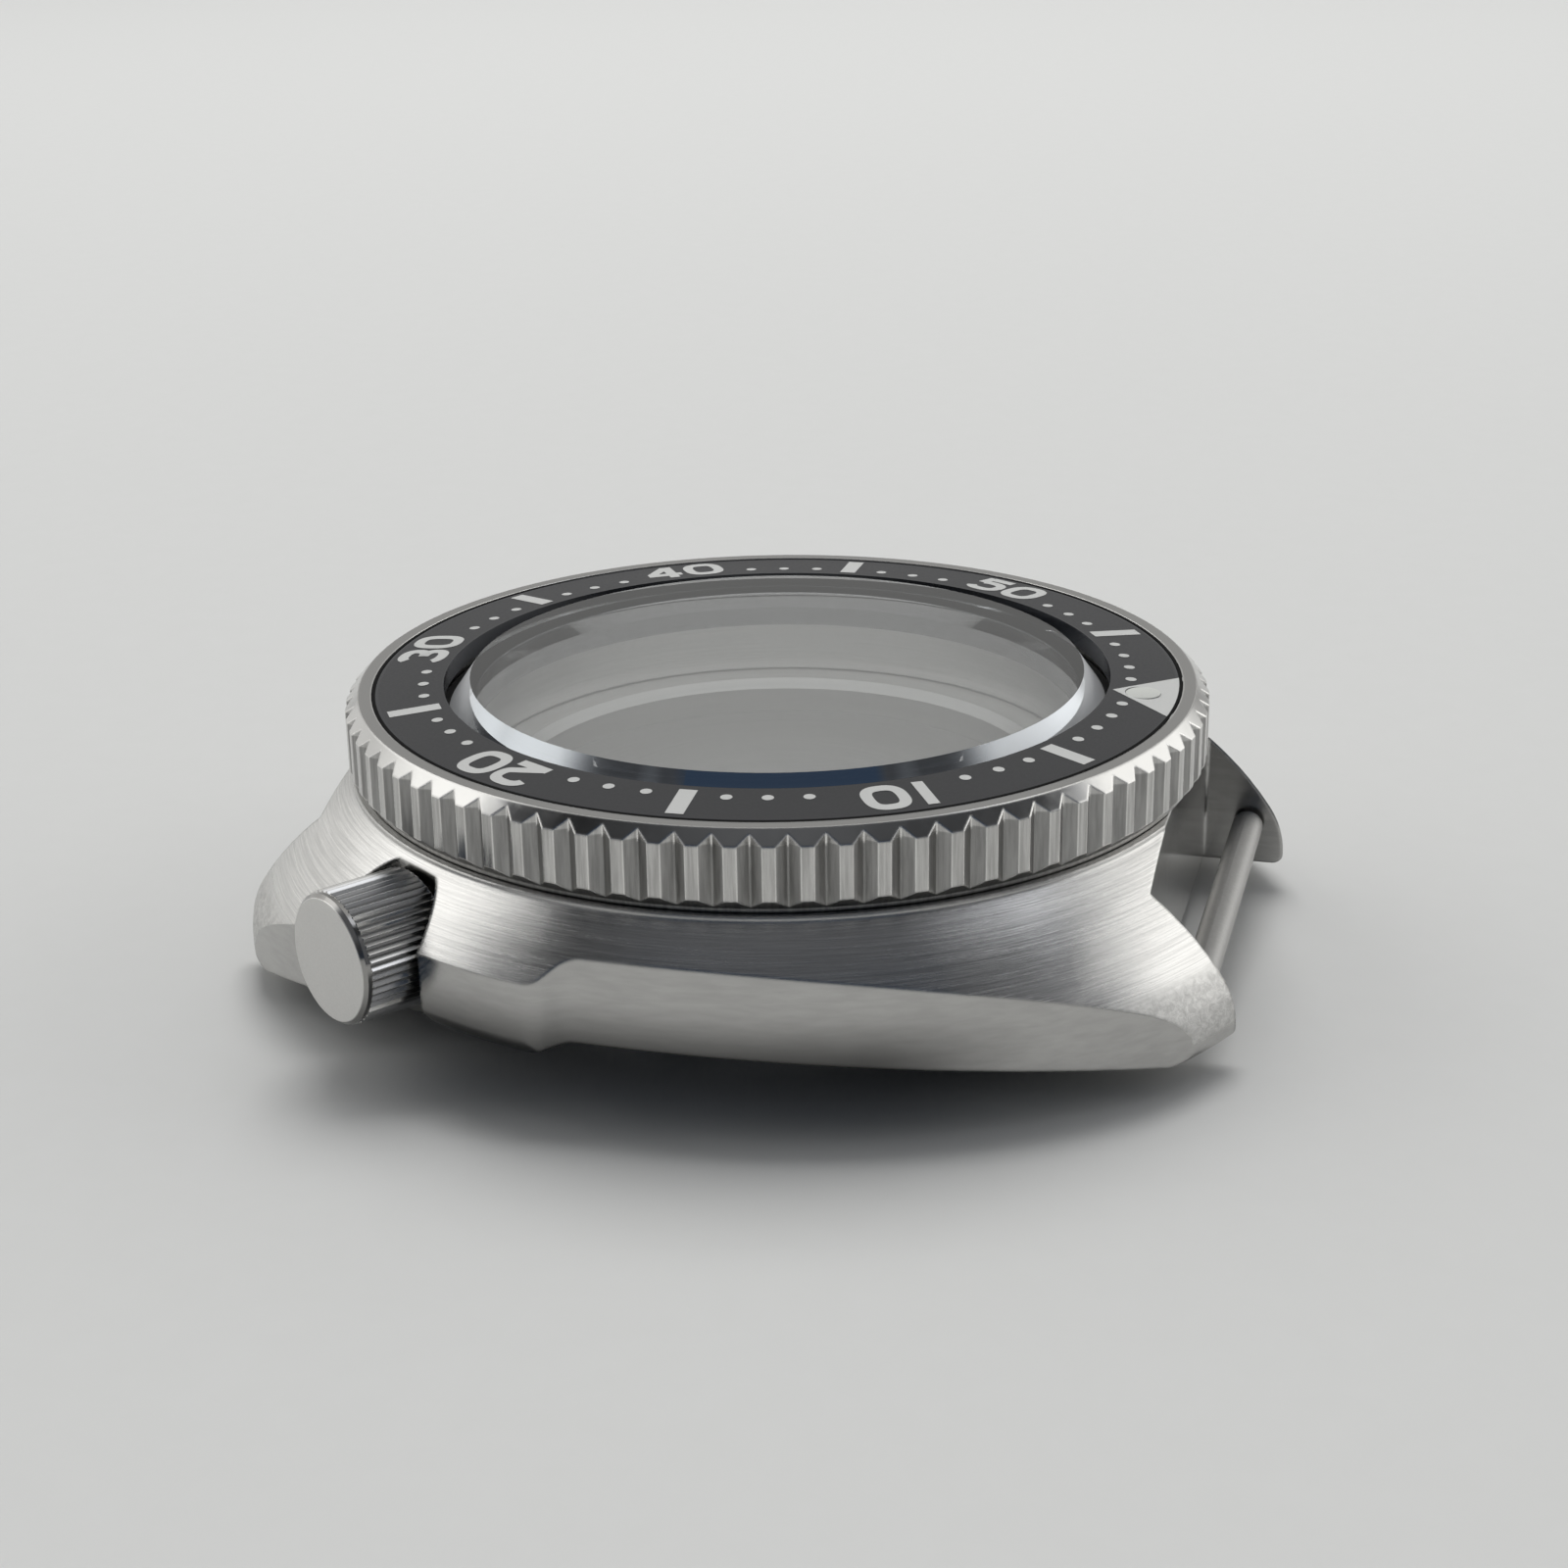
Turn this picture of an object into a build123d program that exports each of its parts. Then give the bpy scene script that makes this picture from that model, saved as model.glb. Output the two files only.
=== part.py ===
from build123d import *
from math import cos, radians, sin
import os

os.makedirs("parts", exist_ok=True)

# Empty diver's watch case, in millimetres.
# The origin is the centre of the back's underside on the dial axis.
# +Z goes up through the glass and +Y towards 12 o'clock of the case.
# Radii grow outwards from the inner wall, and heights grow upwards from the back.

# General clearances
fit_gap = 0.01
outside_margin = 1.0

# Case middle, bores from the inner wall outwards
inner_wall_r = 14.25
dial_seat_width = 0.35
back_thread_depth = 0.45
back_seat_width = 1.25
crystal_seat_width = 1.25
crystal_gasket_wall = 0.45
cavity_r = inner_wall_r + dial_seat_width
back_thread_r = cavity_r + back_thread_depth
gasket_recess_r = back_thread_r + back_seat_width
crystal_r = inner_wall_r + crystal_seat_width
crystal_bore_r = crystal_r + crystal_gasket_wall

# Neck, the bezel's way round it and the grooves of its gasket
neck_wall = 1.6
neck_groove_depth = 0.4
bezel_play = 0.07
bezel_groove_depth = 0.33
bezel_gasket_inner_gap = 0.02
bezel_gasket_outer_gap = 0.1
neck_r = crystal_bore_r + neck_wall
neck_groove_r = neck_r - neck_groove_depth
bezel_bore_r = neck_r + bezel_play
bezel_groove_r = bezel_bore_r + bezel_groove_depth
bezel_gasket_inner_r = neck_groove_r + bezel_gasket_inner_gap
bezel_gasket_outer_r = bezel_groove_r - bezel_gasket_outer_gap

# Click spring round the neck and the ratchet round the spring
spring_play = 0.1
spring_ring_width = 0.45
finger_gap = 0.1
finger_width = 0.2
click_play = 0.1
click_depth = 0.35
click_tip_gap = 0.07
click_count = 120
click_ramp_share = 0.9
finger_count = 3
finger_span_deg = 30.0
finger_joint_deg = 4.0
finger_tip_back_deg = 2.4
finger_tip_front_deg = 0.1
spring_inner_r = neck_r + spring_play
spring_ring_r = spring_inner_r + spring_ring_width
finger_inner_r = spring_ring_r + finger_gap
finger_outer_r = finger_inner_r + finger_width
click_tip_r = finger_outer_r + click_play
click_root_r = click_tip_r + click_depth
finger_tip_r = click_root_r - click_tip_gap
wedge_r = finger_outer_r + outside_margin

# Bezel ring outside the ratchet, with its 80 teeth
rim_wall = 0.95
root_step = 0.07
tooth_depth = 0.43
tooth_margin = 0.3
tooth_count = 80
tooth_phase_deg = 0.95
land_share = 0.34
slope_width = 0.62
bezel_top_width = 0.62
insert_gap = 0.03
insert_glass_gap = 0.2
flange_gap = 0.1
rim_r = click_root_r + rim_wall
root_r = rim_r + root_step
land_r = root_r + tooth_depth
bezel_top_r = land_r - slope_width
insert_wall_r = bezel_top_r - bezel_top_width
insert_outer_r = insert_wall_r - insert_gap
insert_inner_r = crystal_r + insert_glass_gap
flange_r = crystal_bore_r + flange_gap

# Case middle, plan
deck_margin = 0.4
side_shoulder = 1.75
end_wall_inset = 0.85
lug_length = 5.15
lug_gap = 20.1
flank_radius = 30.85
seat_wall_r = rim_r + deck_margin
half_width = seat_wall_r + side_shoulder
flank_offset = flank_radius - half_width
end_wall_y = seat_wall_r - end_wall_inset
tip_r = seat_wall_r + lug_length
lug_reach = tip_r + outside_margin

# Case middle, turned top and rounded lug ends, as steps inwards and upwards from the tip
tip_round = 0.5
tip_rise = 0.59
crease_step = 0.69
crease_rise = 2.41
top_bulge = 0.33
deck_step = 0.2
crease_r = tip_r - crease_step

# Heights from the back's underside up to the glass
underside_z = 1.15
gasket_recess_depth = 0.6
thread_height = 3.0
cavity_height = 2.45
inner_wall_height = 1.73
crystal_thick = 4.3
deck_above_seat = 0.12
neck_height = 2.3
gasket_recess_z = underside_z + gasket_recess_depth
back_thread_z = gasket_recess_z + thread_height
dial_seat_z = back_thread_z + cavity_height
crystal_seat_z = dial_seat_z + inner_wall_height
crystal_top_z = crystal_seat_z + crystal_thick
deck_z = crystal_seat_z + deck_above_seat
seat_foot_z = deck_z - deck_step
neck_top_z = deck_z + neck_height
tip_z = underside_z + tip_rise
crease_z = tip_z + crease_rise
clear_height = crystal_top_z + outside_margin

# Heights of the bezel and its gasket above the deck
rim_gap = 0.05
rim_height = 0.18
flange_rise = 0.07
flange_thick = 0.68
insert_seat_depth = 0.72
insert_drop = 0.02
insert_slope = 0.2
groove_rise = 1.3
groove_height = 0.5
groove_side_gap = 0.05
gasket_side_gap = 0.03
spring_rise = 0.02
spring_thick = 0.3
click_height = 0.9
rim_z = deck_z + rim_gap
chamfer_foot_z = rim_z + rim_height
flange_z = neck_top_z + flange_rise
insert_seat_z = flange_z + flange_thick
bezel_top_z = insert_seat_z + insert_seat_depth
insert_outer_z = bezel_top_z - insert_drop
insert_inner_z = insert_outer_z + insert_slope
slope_low_z = bezel_top_z - slope_width
neck_groove_low_z = deck_z + groove_rise
neck_groove_high_z = neck_groove_low_z + groove_height
bezel_groove_low_z = neck_groove_low_z - groove_side_gap
bezel_groove_high_z = neck_groove_high_z + groove_side_gap
bezel_gasket_low_z = neck_groove_low_z + gasket_side_gap
bezel_gasket_high_z = neck_groove_high_z - gasket_side_gap
spring_low_z = deck_z + spring_rise
click_top_z = deck_z + click_height

# Pip in the triangle at 12
bezel_turn_deg = 2.15
pip_inset = 1.73
pip_r = 0.8
pip_depth = 0.3
pip_proud = 0.2
pip_reach = insert_outer_r - pip_inset
pip_bottom_z = insert_outer_z - pip_depth
pip_top_z = bezel_top_z + pip_proud

# Glass
crystal_bevel_width = 1.04
crystal_bevel_height = 1.48
crystal_foot_chamfer = 0.2
crystal_gasket_rise = 0.25
crystal_top_r = crystal_r - crystal_bevel_width
crystal_bevel_z = crystal_top_z - crystal_bevel_height
crystal_gasket_top_z = neck_top_z + crystal_gasket_rise

# Hollow underside of the flanks, a wide cone about a far upright axis
sweep_radius = 61.4
sweep_width = 4.65
sweep_rise_share = 0.516
sweep_inner_x = half_width - sweep_width
sweep_outer_x = tip_r + outside_margin
sweep_centre_x = sweep_radius - sweep_inner_x

# Crown guard on the 12 o'clock side of the crown
guard_bulge = 1.1
guard_step_y = 4.18
guard_step_share = 1.687
guard_reach_y = 14.1
guard_head_fillet = 1.3
guard_foot_fillet = 1.7
guard_bottom_rise = 1.66
guard_round = 1.0
guard_ramp_start = 2.1
guard_ramp_width = 3.9
guard_radius = half_width + guard_bulge
guard_round_r = guard_radius + fit_gap
guard_step_x = half_width + guard_bulge / 2
guard_bottom_z = underside_z + guard_bottom_rise

# Crown, its pocket and its tube: distances from the dial axis along the crown
crown_deg = -34.5
crown_drop = 3.45
pocket_margin = 0.3
pocket_gap = 0.29
pocket_round = 1.2
stem_wall = 0.6
tube_reach = 3.2
washer_gap = 0.05
washer_thick = 0.3
socket_depth = 0.4
face_wall = 0.8
crown_gap = 0.25
knurl_in_step = 0.2
band_step = 0.21
face_step = 0.17
crown_z = deck_z - crown_drop
pocket_s = seat_wall_r + pocket_margin
tube_hole_s = cavity_r + stem_wall
stem_hole_s = cavity_r - outside_margin
tube_end_s = pocket_s + tube_reach
washer_in_s = tube_end_s + washer_gap
head_floor_s = washer_in_s + washer_thick
pipe_socket_s = head_floor_s + socket_depth
face_s = pipe_socket_s + face_wall
band_s = face_s - face_step
knurl_out_s = band_s - band_step
crown_in_s = pocket_s + crown_gap
knurl_in_s = crown_in_s + knurl_in_step
pocket_reach = face_s - pocket_s + outside_margin

# Sleeve, post and spring inside the crown, along the crown
pipe_length = 7.45
pipe_collar_length = 0.4
post_nose = 1.0
post_flange_length = 0.4
stem_thread_length = 1.7
pipe_in_s = pipe_socket_s - pipe_length
pipe_collar_s = pipe_in_s + pipe_collar_length
post_in_s = pipe_in_s - post_nose
post_flange_s = pipe_collar_s + post_flange_length
stem_thread_s = post_in_s + stem_thread_length

# Radii about the crown's axis, from the stem thread outwards
stem_thread_r = 0.45
post_wall = 0.25
turning_gap = 0.05
post_flange_step = 0.15
pipe_wall = 0.3
tube_press_wall = 0.45
tube_thread_step = 0.25
crown_wall = 0.96
knurl_depth = 0.17
band_drop = 0.08
face_chamfer = 0.19
crown_in_chamfer = 0.31
stem_hole_gap = 0.1
washer_outer_gap = 0.07
post_spring_gap = 0.1
post_spring_wire = 0.23
post_shaft_r = stem_thread_r + post_wall
pipe_collar_r = post_shaft_r + turning_gap
post_flange_r = pipe_collar_r + post_flange_step
pipe_bore_r = post_flange_r + turning_gap
pipe_r = pipe_bore_r + pipe_wall
tube_bore_r = pipe_r + turning_gap
tube_press_r = tube_bore_r + tube_press_wall
tube_thread_r = tube_press_r + tube_thread_step
head_bore_r = tube_thread_r + turning_gap
knurl_r = head_bore_r + crown_wall
knurl_root_r = knurl_r - knurl_depth
band_r = knurl_r - band_drop
face_r = band_r - face_chamfer
crown_in_r = knurl_r - crown_in_chamfer
pocket_r = knurl_r + pocket_gap
tube_hole_r = tube_press_r + fit_gap
stem_hole_r = pipe_r + stem_hole_gap
washer_inner_r = pipe_r + turning_gap
washer_outer_r = head_bore_r - washer_outer_gap
post_spring_outer_r = pipe_bore_r - post_spring_gap
post_spring_inner_r = post_spring_outer_r - post_spring_wire
knurl_count = 52

# Two square rings in the bore of the tube
ring_groove_depth = 0.32
ring_groove_width = 0.42
ring_groove_start = 0.9
ring_groove_pitch = 1.2
ring_pipe_gap = 0.02
ring_side_gap = 0.02
ring_groove_r = tube_bore_r + ring_groove_depth
ring_groove_near_s = pocket_s + ring_groove_start
ring_groove_far_s = ring_groove_near_s + ring_groove_pitch
ring_inner_r = pipe_r + ring_pipe_gap
ring_outer_r = ring_groove_r - fit_gap

# Screwed back
back_width = 0.35
back_slope_width = 1.8
back_slope_height = 0.9
back_gap = 0.02
back_thick = 3.0
collar_gap = 0.05
collar_wall = 2.3
collar_chamfer = 0.45
notch_count = 6
notch_width = 2.6
notch_depth = 1.6
notch_height = 0.75
back_gasket_inner_gap = 0.2
back_gasket_outer_gap = 0.1
back_gasket_low_gap = 0.03
back_gasket_high_gap = 0.07
back_r = gasket_recess_r + back_width
back_edge_r = back_r - back_slope_width
back_flange_z = underside_z - back_gap
collar_r = back_thread_r - collar_gap
collar_inner_r = collar_r - collar_wall
collar_top_z = back_thread_z - collar_gap
back_gasket_inner_r = collar_r + back_gasket_inner_gap
back_gasket_outer_r = gasket_recess_r - back_gasket_outer_gap
back_gasket_low_z = back_flange_z + back_gasket_low_gap
back_gasket_high_z = gasket_recess_z - back_gasket_high_gap

# Strap bars between the lugs
bar_clearance = 2.15
bar_z = 3.2
lug_hole_depth = 1.2
lug_hole_r = 0.45
pin_end_gap = 0.3
bar_end_gap = 0.35
bar_crimp_length = 0.25
pin_neck_gap = 0.05
pin_head_length = 2.0
bar_tube_wall = 0.25
bar_crimp_gap = 0.03
bar_spring_gap = 0.07
bar_spring_wire = 0.14
bar_y = end_wall_y + bar_clearance
bar_tube_half = lug_gap / 2 - bar_end_gap
pin_tip_x = lug_gap / 2 + lug_hole_depth - pin_end_gap
pin_neck_x = bar_tube_half - bar_crimp_length - pin_neck_gap
pin_inner_x = pin_neck_x - pin_head_length
pin_tip_r = lug_hole_r - turning_gap
pin_head_r = pin_tip_r + turning_gap
bar_bore_r = pin_head_r + turning_gap
bar_tube_r = bar_bore_r + bar_tube_wall
bar_crimp_r = pin_tip_r + bar_crimp_gap
bar_spring_outer_r = bar_bore_r - bar_spring_gap
bar_spring_inner_r = bar_spring_outer_r - bar_spring_wire


def heading(degrees):
    """Unit direction in the plan, counted from 3 o'clock towards 12 o'clock."""
    return Vector(cos(radians(degrees)), sin(radians(degrees)))


crown_dir = heading(crown_deg)
crown_side = heading(crown_deg - 90)
crown_foot = Vector(0, 0, crown_z)
crown_axis = Axis(crown_foot, crown_dir)
# Looking along the crown: local Z runs outwards
crown_face = Plane(origin=crown_foot, x_dir=crown_side, z_dir=crown_dir)
# Looking at the crown from the side: local X is the distance from the dial axis
crown_section = Plane(origin=crown_foot, x_dir=crown_dir, z_dir=crown_side)

# Plan of the crown guard: a disc about the dial axis, cut off by the slanting step
with BuildSketch() as guard_plan:
    Circle(guard_radius)
    with BuildLine():
        Polyline(
            (guard_step_x - outside_margin, -guard_step_y + guard_step_share * outside_margin),
            (guard_step_x + outside_margin, -guard_step_y - guard_step_share * outside_margin),
            (guard_step_x + outside_margin, -guard_reach_y),
            (sweep_inner_x, -guard_reach_y),
            (sweep_inner_x, -guard_step_y + guard_step_share * outside_margin),
            close=True,
        )
    make_face(mode=Mode.INTERSECT)

# Hollow under the flank on the crown side, which stays lower under the guard
guard_ramp_low_y = -guard_step_y - guard_ramp_start
guard_ramp_high_y = guard_ramp_low_y + guard_ramp_width
guard_ramp_mid_y = (guard_ramp_low_y + guard_ramp_high_y) / 2
guard_ramp_top_z = underside_z + sweep_rise_share * sweep_width
with BuildPart() as crown_side_hollow:
    with BuildSketch(Plane.XZ):
        with BuildLine():
            Polyline(
                (sweep_inner_x, underside_z),
                (sweep_outer_x, underside_z + sweep_rise_share * (sweep_outer_x - sweep_inner_x)),
                (sweep_outer_x, 0),
                (sweep_inner_x, 0),
                close=True,
            )
        make_face()
    revolve(axis=Axis((-sweep_centre_x, 0, 0), (0, 0, 1)))
    with BuildSketch(Plane.YZ.offset(sweep_inner_x)):
        with BuildLine():
            Polyline(
                (guard_ramp_high_y, guard_ramp_top_z),
                (guard_ramp_high_y, clear_height),
                (pocket_s * crown_dir.Y, clear_height),
                (pocket_s * crown_dir.Y, guard_bottom_z),
                (guard_ramp_low_y, guard_bottom_z),
            )
            Bezier(
                (guard_ramp_low_y, guard_bottom_z),
                (guard_ramp_mid_y, guard_bottom_z),
                (guard_ramp_mid_y, guard_ramp_top_z),
                (guard_ramp_high_y, guard_ramp_top_z),
            )
        make_face()
    extrude(amount=sweep_outer_x - sweep_inner_x, mode=Mode.SUBTRACT)

# Case middle
with BuildPart() as mid_case:
    with BuildSketch(Plane.XZ):
        with BuildLine():
            Polyline(
                (0, underside_z),
                (tip_r, underside_z),
                (tip_r, tip_z),
            )
            top_arc = SagittaArc((crease_r, crease_z), (seat_wall_r, seat_foot_z), -top_bulge)
            TangentArc((crease_r, crease_z), (tip_r, tip_z), tangent=-(top_arc % 0))
            Polyline(
                (seat_wall_r, seat_foot_z),
                (seat_wall_r, deck_z),
                (neck_r, deck_z),
                (neck_r, neck_top_z),
                (0, neck_top_z),
                (0, underside_z),
            )
        tip_section = make_face()
        tip_corner = tip_section.vertices().sort_by_distance((tip_r, 0, underside_z))[0]
        fillet(tip_corner, radius=tip_round)
    revolve(axis=Axis.Z)
    # Flanks and lug sides, with the guard before the crown
    with BuildSketch() as case_plan:
        with Locations((-flank_offset, 0)):
            Circle(flank_radius)
        with Locations((flank_offset, 0)):
            Circle(flank_radius, mode=Mode.INTERSECT)
        add(guard_plan.sketch)
        head_corner = case_plan.vertices().sort_by_distance((guard_radius, -guard_step_y, 0))[0]
        fillet(head_corner, radius=guard_head_fillet)
        foot_corner = case_plan.vertices().sort_by_distance(
            (half_width, guard_bulge - guard_step_y, 0)
        )[0]
        fillet(foot_corner, radius=guard_foot_fillet)
    extrude(amount=clear_height, mode=Mode.INTERSECT)
    # Gaps between the lugs
    with BuildSketch():
        with Locations(
            (0, (end_wall_y + lug_reach) / 2), (0, -(end_wall_y + lug_reach) / 2)
        ):
            Rectangle(lug_gap, lug_reach - end_wall_y)
    extrude(amount=clear_height, mode=Mode.SUBTRACT)
    # Hollow undersides
    add(crown_side_hollow.part, mode=Mode.SUBTRACT)
    with BuildSketch(Plane.XZ):
        with BuildLine():
            Polyline(
                (-sweep_inner_x, underside_z),
                (-sweep_outer_x, underside_z + sweep_rise_share * (sweep_outer_x - sweep_inner_x)),
                (-sweep_outer_x, 0),
                (-sweep_inner_x, 0),
                close=True,
            )
        make_face()
    revolve(axis=Axis((sweep_centre_x, 0, 0), (0, 0, 1)), mode=Mode.SUBTRACT)
    # Rounding along the guard's lower edge
    with BuildSketch(Plane((0, 0, 0), x_dir=crown_dir, z_dir=crown_side)):
        with BuildLine():
            CenterArc(
                (guard_round_r - guard_round, guard_bottom_z + guard_round), guard_round, -90, 90
            )
            Polyline(
                (guard_round_r, guard_bottom_z + guard_round),
                (guard_round_r + outside_margin, guard_bottom_z + guard_round),
                (guard_round_r + outside_margin, 0),
                (guard_round_r - guard_round, 0),
                (guard_round_r - guard_round, guard_bottom_z),
            )
        make_face()
    revolve(axis=Axis.Z, revolution_arc=-crown_deg, mode=Mode.SUBTRACT)
    # Bores from the back up to the glass
    with BuildSketch(Plane.XZ):
        with BuildLine():
            Polyline(
                (0, 0),
                (gasket_recess_r, 0),
                (gasket_recess_r, gasket_recess_z),
                (back_thread_r, gasket_recess_z),
                (back_thread_r, back_thread_z),
                (cavity_r, back_thread_z),
                (cavity_r, dial_seat_z),
                (inner_wall_r, dial_seat_z),
                (inner_wall_r, crystal_seat_z),
                (crystal_bore_r, crystal_seat_z),
                (crystal_bore_r, clear_height),
                (0, clear_height),
                close=True,
            )
        make_face()
    revolve(axis=Axis.Z, mode=Mode.SUBTRACT)
    # Groove in the neck for the bezel gasket
    with BuildSketch(Plane.XY.offset(neck_groove_low_z)):
        Circle(neck_r + outside_margin)
        Circle(neck_groove_r, mode=Mode.SUBTRACT)
    extrude(amount=neck_groove_high_z - neck_groove_low_z, mode=Mode.SUBTRACT)
    # Pocket for the crown, open below, and the stepped hole for its tube
    with BuildSketch(crown_face.offset(pocket_s)):
        Circle(pocket_r)
        with Locations((0, crown_z / 2)):
            Rectangle(2 * pocket_r, crown_z)
        with BuildLine():
            CenterArc(
                (-pocket_r - pocket_round, crown_z - guard_bottom_z - pocket_round),
                pocket_round,
                0,
                90,
            )
            Polyline(
                (-pocket_r - pocket_round, crown_z - guard_bottom_z),
                (-pocket_r - pocket_round, crown_z),
                (-pocket_r, crown_z),
                (-pocket_r, crown_z - guard_bottom_z - pocket_round),
            )
        make_face()
    extrude(amount=pocket_reach, mode=Mode.SUBTRACT)
    with BuildSketch(crown_face.offset(tube_hole_s)):
        Circle(tube_hole_r)
    extrude(amount=pocket_s - tube_hole_s, mode=Mode.SUBTRACT)
    with BuildSketch(crown_face.offset(stem_hole_s)):
        Circle(stem_hole_r)
    extrude(amount=tube_hole_s - stem_hole_s, mode=Mode.SUBTRACT)
    # Blind holes in the lugs for the strap bars
    with BuildSketch(Plane.YZ.offset(-lug_gap / 2 - lug_hole_depth)):
        with Locations((bar_y, bar_z), (-bar_y, bar_z)):
            Circle(lug_hole_r)
    extrude(amount=lug_gap + 2 * lug_hole_depth, mode=Mode.SUBTRACT)

# Glass
with BuildPart() as crystal:
    with BuildSketch(Plane.XZ):
        with BuildLine():
            Polyline(
                (0, crystal_seat_z),
                (crystal_r - crystal_foot_chamfer, crystal_seat_z),
                (crystal_r, crystal_seat_z + crystal_foot_chamfer),
                (crystal_r, crystal_bevel_z),
                (crystal_top_r, crystal_top_z),
                (0, crystal_top_z),
                close=True,
            )
        make_face()
    revolve(axis=Axis.Z)

# Ring that grips the glass in the neck
with BuildPart() as crystal_gasket:
    with BuildSketch(Plane.XY.offset(crystal_seat_z)):
        Circle(crystal_bore_r - fit_gap)
        Circle(crystal_r + fit_gap, mode=Mode.SUBTRACT)
    extrude(amount=crystal_gasket_top_z - crystal_seat_z)

# Outline of the bezel's 80 teeth, flat lands with V grooves between them
tooth_pitch_deg = 360 / tooth_count
tooth_points = []
for tooth in range(tooth_count):
    middle_deg = tooth_phase_deg + tooth * tooth_pitch_deg
    half_land_deg = tooth_pitch_deg * land_share / 2
    tooth_points.append(heading(middle_deg - half_land_deg) * land_r)
    tooth_points.append(heading(middle_deg + half_land_deg) * land_r)
    tooth_points.append(heading(middle_deg + tooth_pitch_deg / 2) * root_r)

# Outline of the ratchet's 120 saw teeth, which let the bezel turn anticlockwise only
click_pitch_deg = 360 / click_count
click_points = []
for click in range(click_count):
    valley_deg = click * click_pitch_deg
    click_points.append(heading(valley_deg - click_pitch_deg * click_ramp_share) * click_tip_r)
    click_points.append(heading(valley_deg) * click_root_r)

# Bezel ring
with BuildPart() as bezel_ring:
    with BuildSketch(Plane.XZ):
        with BuildLine():
            Polyline(
                (bezel_bore_r, rim_z),
                (rim_r, rim_z),
                (rim_r, chamfer_foot_z),
                (land_r + tooth_margin, chamfer_foot_z + land_r + tooth_margin - rim_r),
                (land_r + tooth_margin, slope_low_z - tooth_margin),
                (bezel_top_r, bezel_top_z),
                (insert_wall_r, bezel_top_z),
                (insert_wall_r, insert_seat_z),
                (flange_r, insert_seat_z),
                (flange_r, flange_z),
                (bezel_bore_r, flange_z),
                (bezel_bore_r, bezel_groove_high_z),
                (bezel_groove_r, bezel_groove_high_z),
                (bezel_groove_r, bezel_groove_low_z),
                (bezel_bore_r, bezel_groove_low_z),
                close=True,
            )
        make_face()
    revolve(axis=Axis.Z)
    with BuildSketch():
        with BuildLine():
            Polyline(*tooth_points, close=True)
        make_face()
    extrude(amount=clear_height, mode=Mode.INTERSECT)
    with BuildSketch():
        with BuildLine():
            Polyline(*click_points, close=True)
        make_face()
    extrude(amount=click_top_z, mode=Mode.SUBTRACT)

# Ring that holds the bezel down, in the grooves of neck and bezel
with BuildPart() as bezel_gasket:
    with BuildSketch(Plane.XY.offset(bezel_gasket_low_z)):
        Circle(bezel_gasket_outer_r)
        Circle(bezel_gasket_inner_r, mode=Mode.SUBTRACT)
    extrude(amount=bezel_gasket_high_z - bezel_gasket_low_z)

# Click spring: a flat ring with three curved fingers
with BuildPart() as click_spring:
    with BuildSketch(Plane.XY.offset(spring_low_z)):
        Circle(finger_outer_r)
        Circle(finger_inner_r, mode=Mode.SUBTRACT)
        with PolarLocations(0, finger_count):
            Polygon(
                (0, 0),
                heading(finger_span_deg) * wedge_r,
                heading(finger_span_deg * 2) * wedge_r,
                heading(finger_span_deg * 3) * wedge_r,
                heading(finger_span_deg * 4) * wedge_r,
                align=None,
                mode=Mode.SUBTRACT,
            )
        with PolarLocations(0, finger_count):
            Polygon(
                heading(finger_span_deg - finger_joint_deg) * spring_inner_r,
                heading(finger_span_deg - finger_joint_deg) * finger_outer_r,
                heading(finger_span_deg) * finger_outer_r,
                heading(finger_span_deg) * spring_inner_r,
                align=None,
            )
            Polygon(
                heading(-finger_tip_back_deg) * finger_inner_r,
                heading(0) * finger_tip_r,
                heading(finger_tip_front_deg) * finger_outer_r,
                heading(finger_tip_front_deg + finger_tip_back_deg) * finger_inner_r,
                heading(finger_tip_front_deg) * finger_inner_r,
                align=None,
            )
        Circle(spring_ring_r)
        Circle(spring_inner_r, mode=Mode.SUBTRACT)
    extrude(amount=spring_thick)

# Conical minute ring, with a recess for the pip
pip_place = heading(90 + bezel_turn_deg) * pip_reach
with BuildPart() as bezel_insert:
    with BuildSketch(Plane.XZ):
        with BuildLine():
            Polyline(
                (insert_inner_r, insert_seat_z),
                (insert_outer_r, insert_seat_z),
                (insert_outer_r, insert_outer_z),
                (insert_inner_r, insert_inner_z),
                close=True,
            )
        make_face()
    revolve(axis=Axis.Z)
    with BuildSketch(Plane.XY.offset(pip_bottom_z)):
        with Locations(pip_place):
            Circle(pip_r)
    extrude(amount=clear_height - pip_bottom_z, mode=Mode.SUBTRACT)

# Luminous pip in the triangle at 12
with BuildPart() as bezel_pip:
    with BuildSketch(Plane.XY.offset(pip_bottom_z)):
        with Locations(pip_place):
            Circle(pip_r - fit_gap)
    extrude(amount=pip_top_z - pip_bottom_z)

# Screwed back with its threaded collar and six key notches
with BuildPart() as caseback:
    with BuildSketch(Plane.XZ):
        with BuildLine():
            Polyline(
                (0, 0),
                (back_edge_r, 0),
                (back_r, back_slope_height),
                (back_r, back_flange_z),
                (collar_r, back_flange_z),
                (collar_r, collar_top_z),
                (collar_inner_r + collar_chamfer, collar_top_z),
                (collar_inner_r, collar_top_z - collar_chamfer),
                (collar_inner_r, back_thick),
                (0, back_thick),
                close=True,
            )
        make_face()
    revolve(axis=Axis.Z)
    with BuildSketch():
        with PolarLocations(back_r, notch_count):
            Rectangle(2 * notch_depth, notch_width)
    extrude(amount=notch_height, mode=Mode.SUBTRACT)

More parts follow.
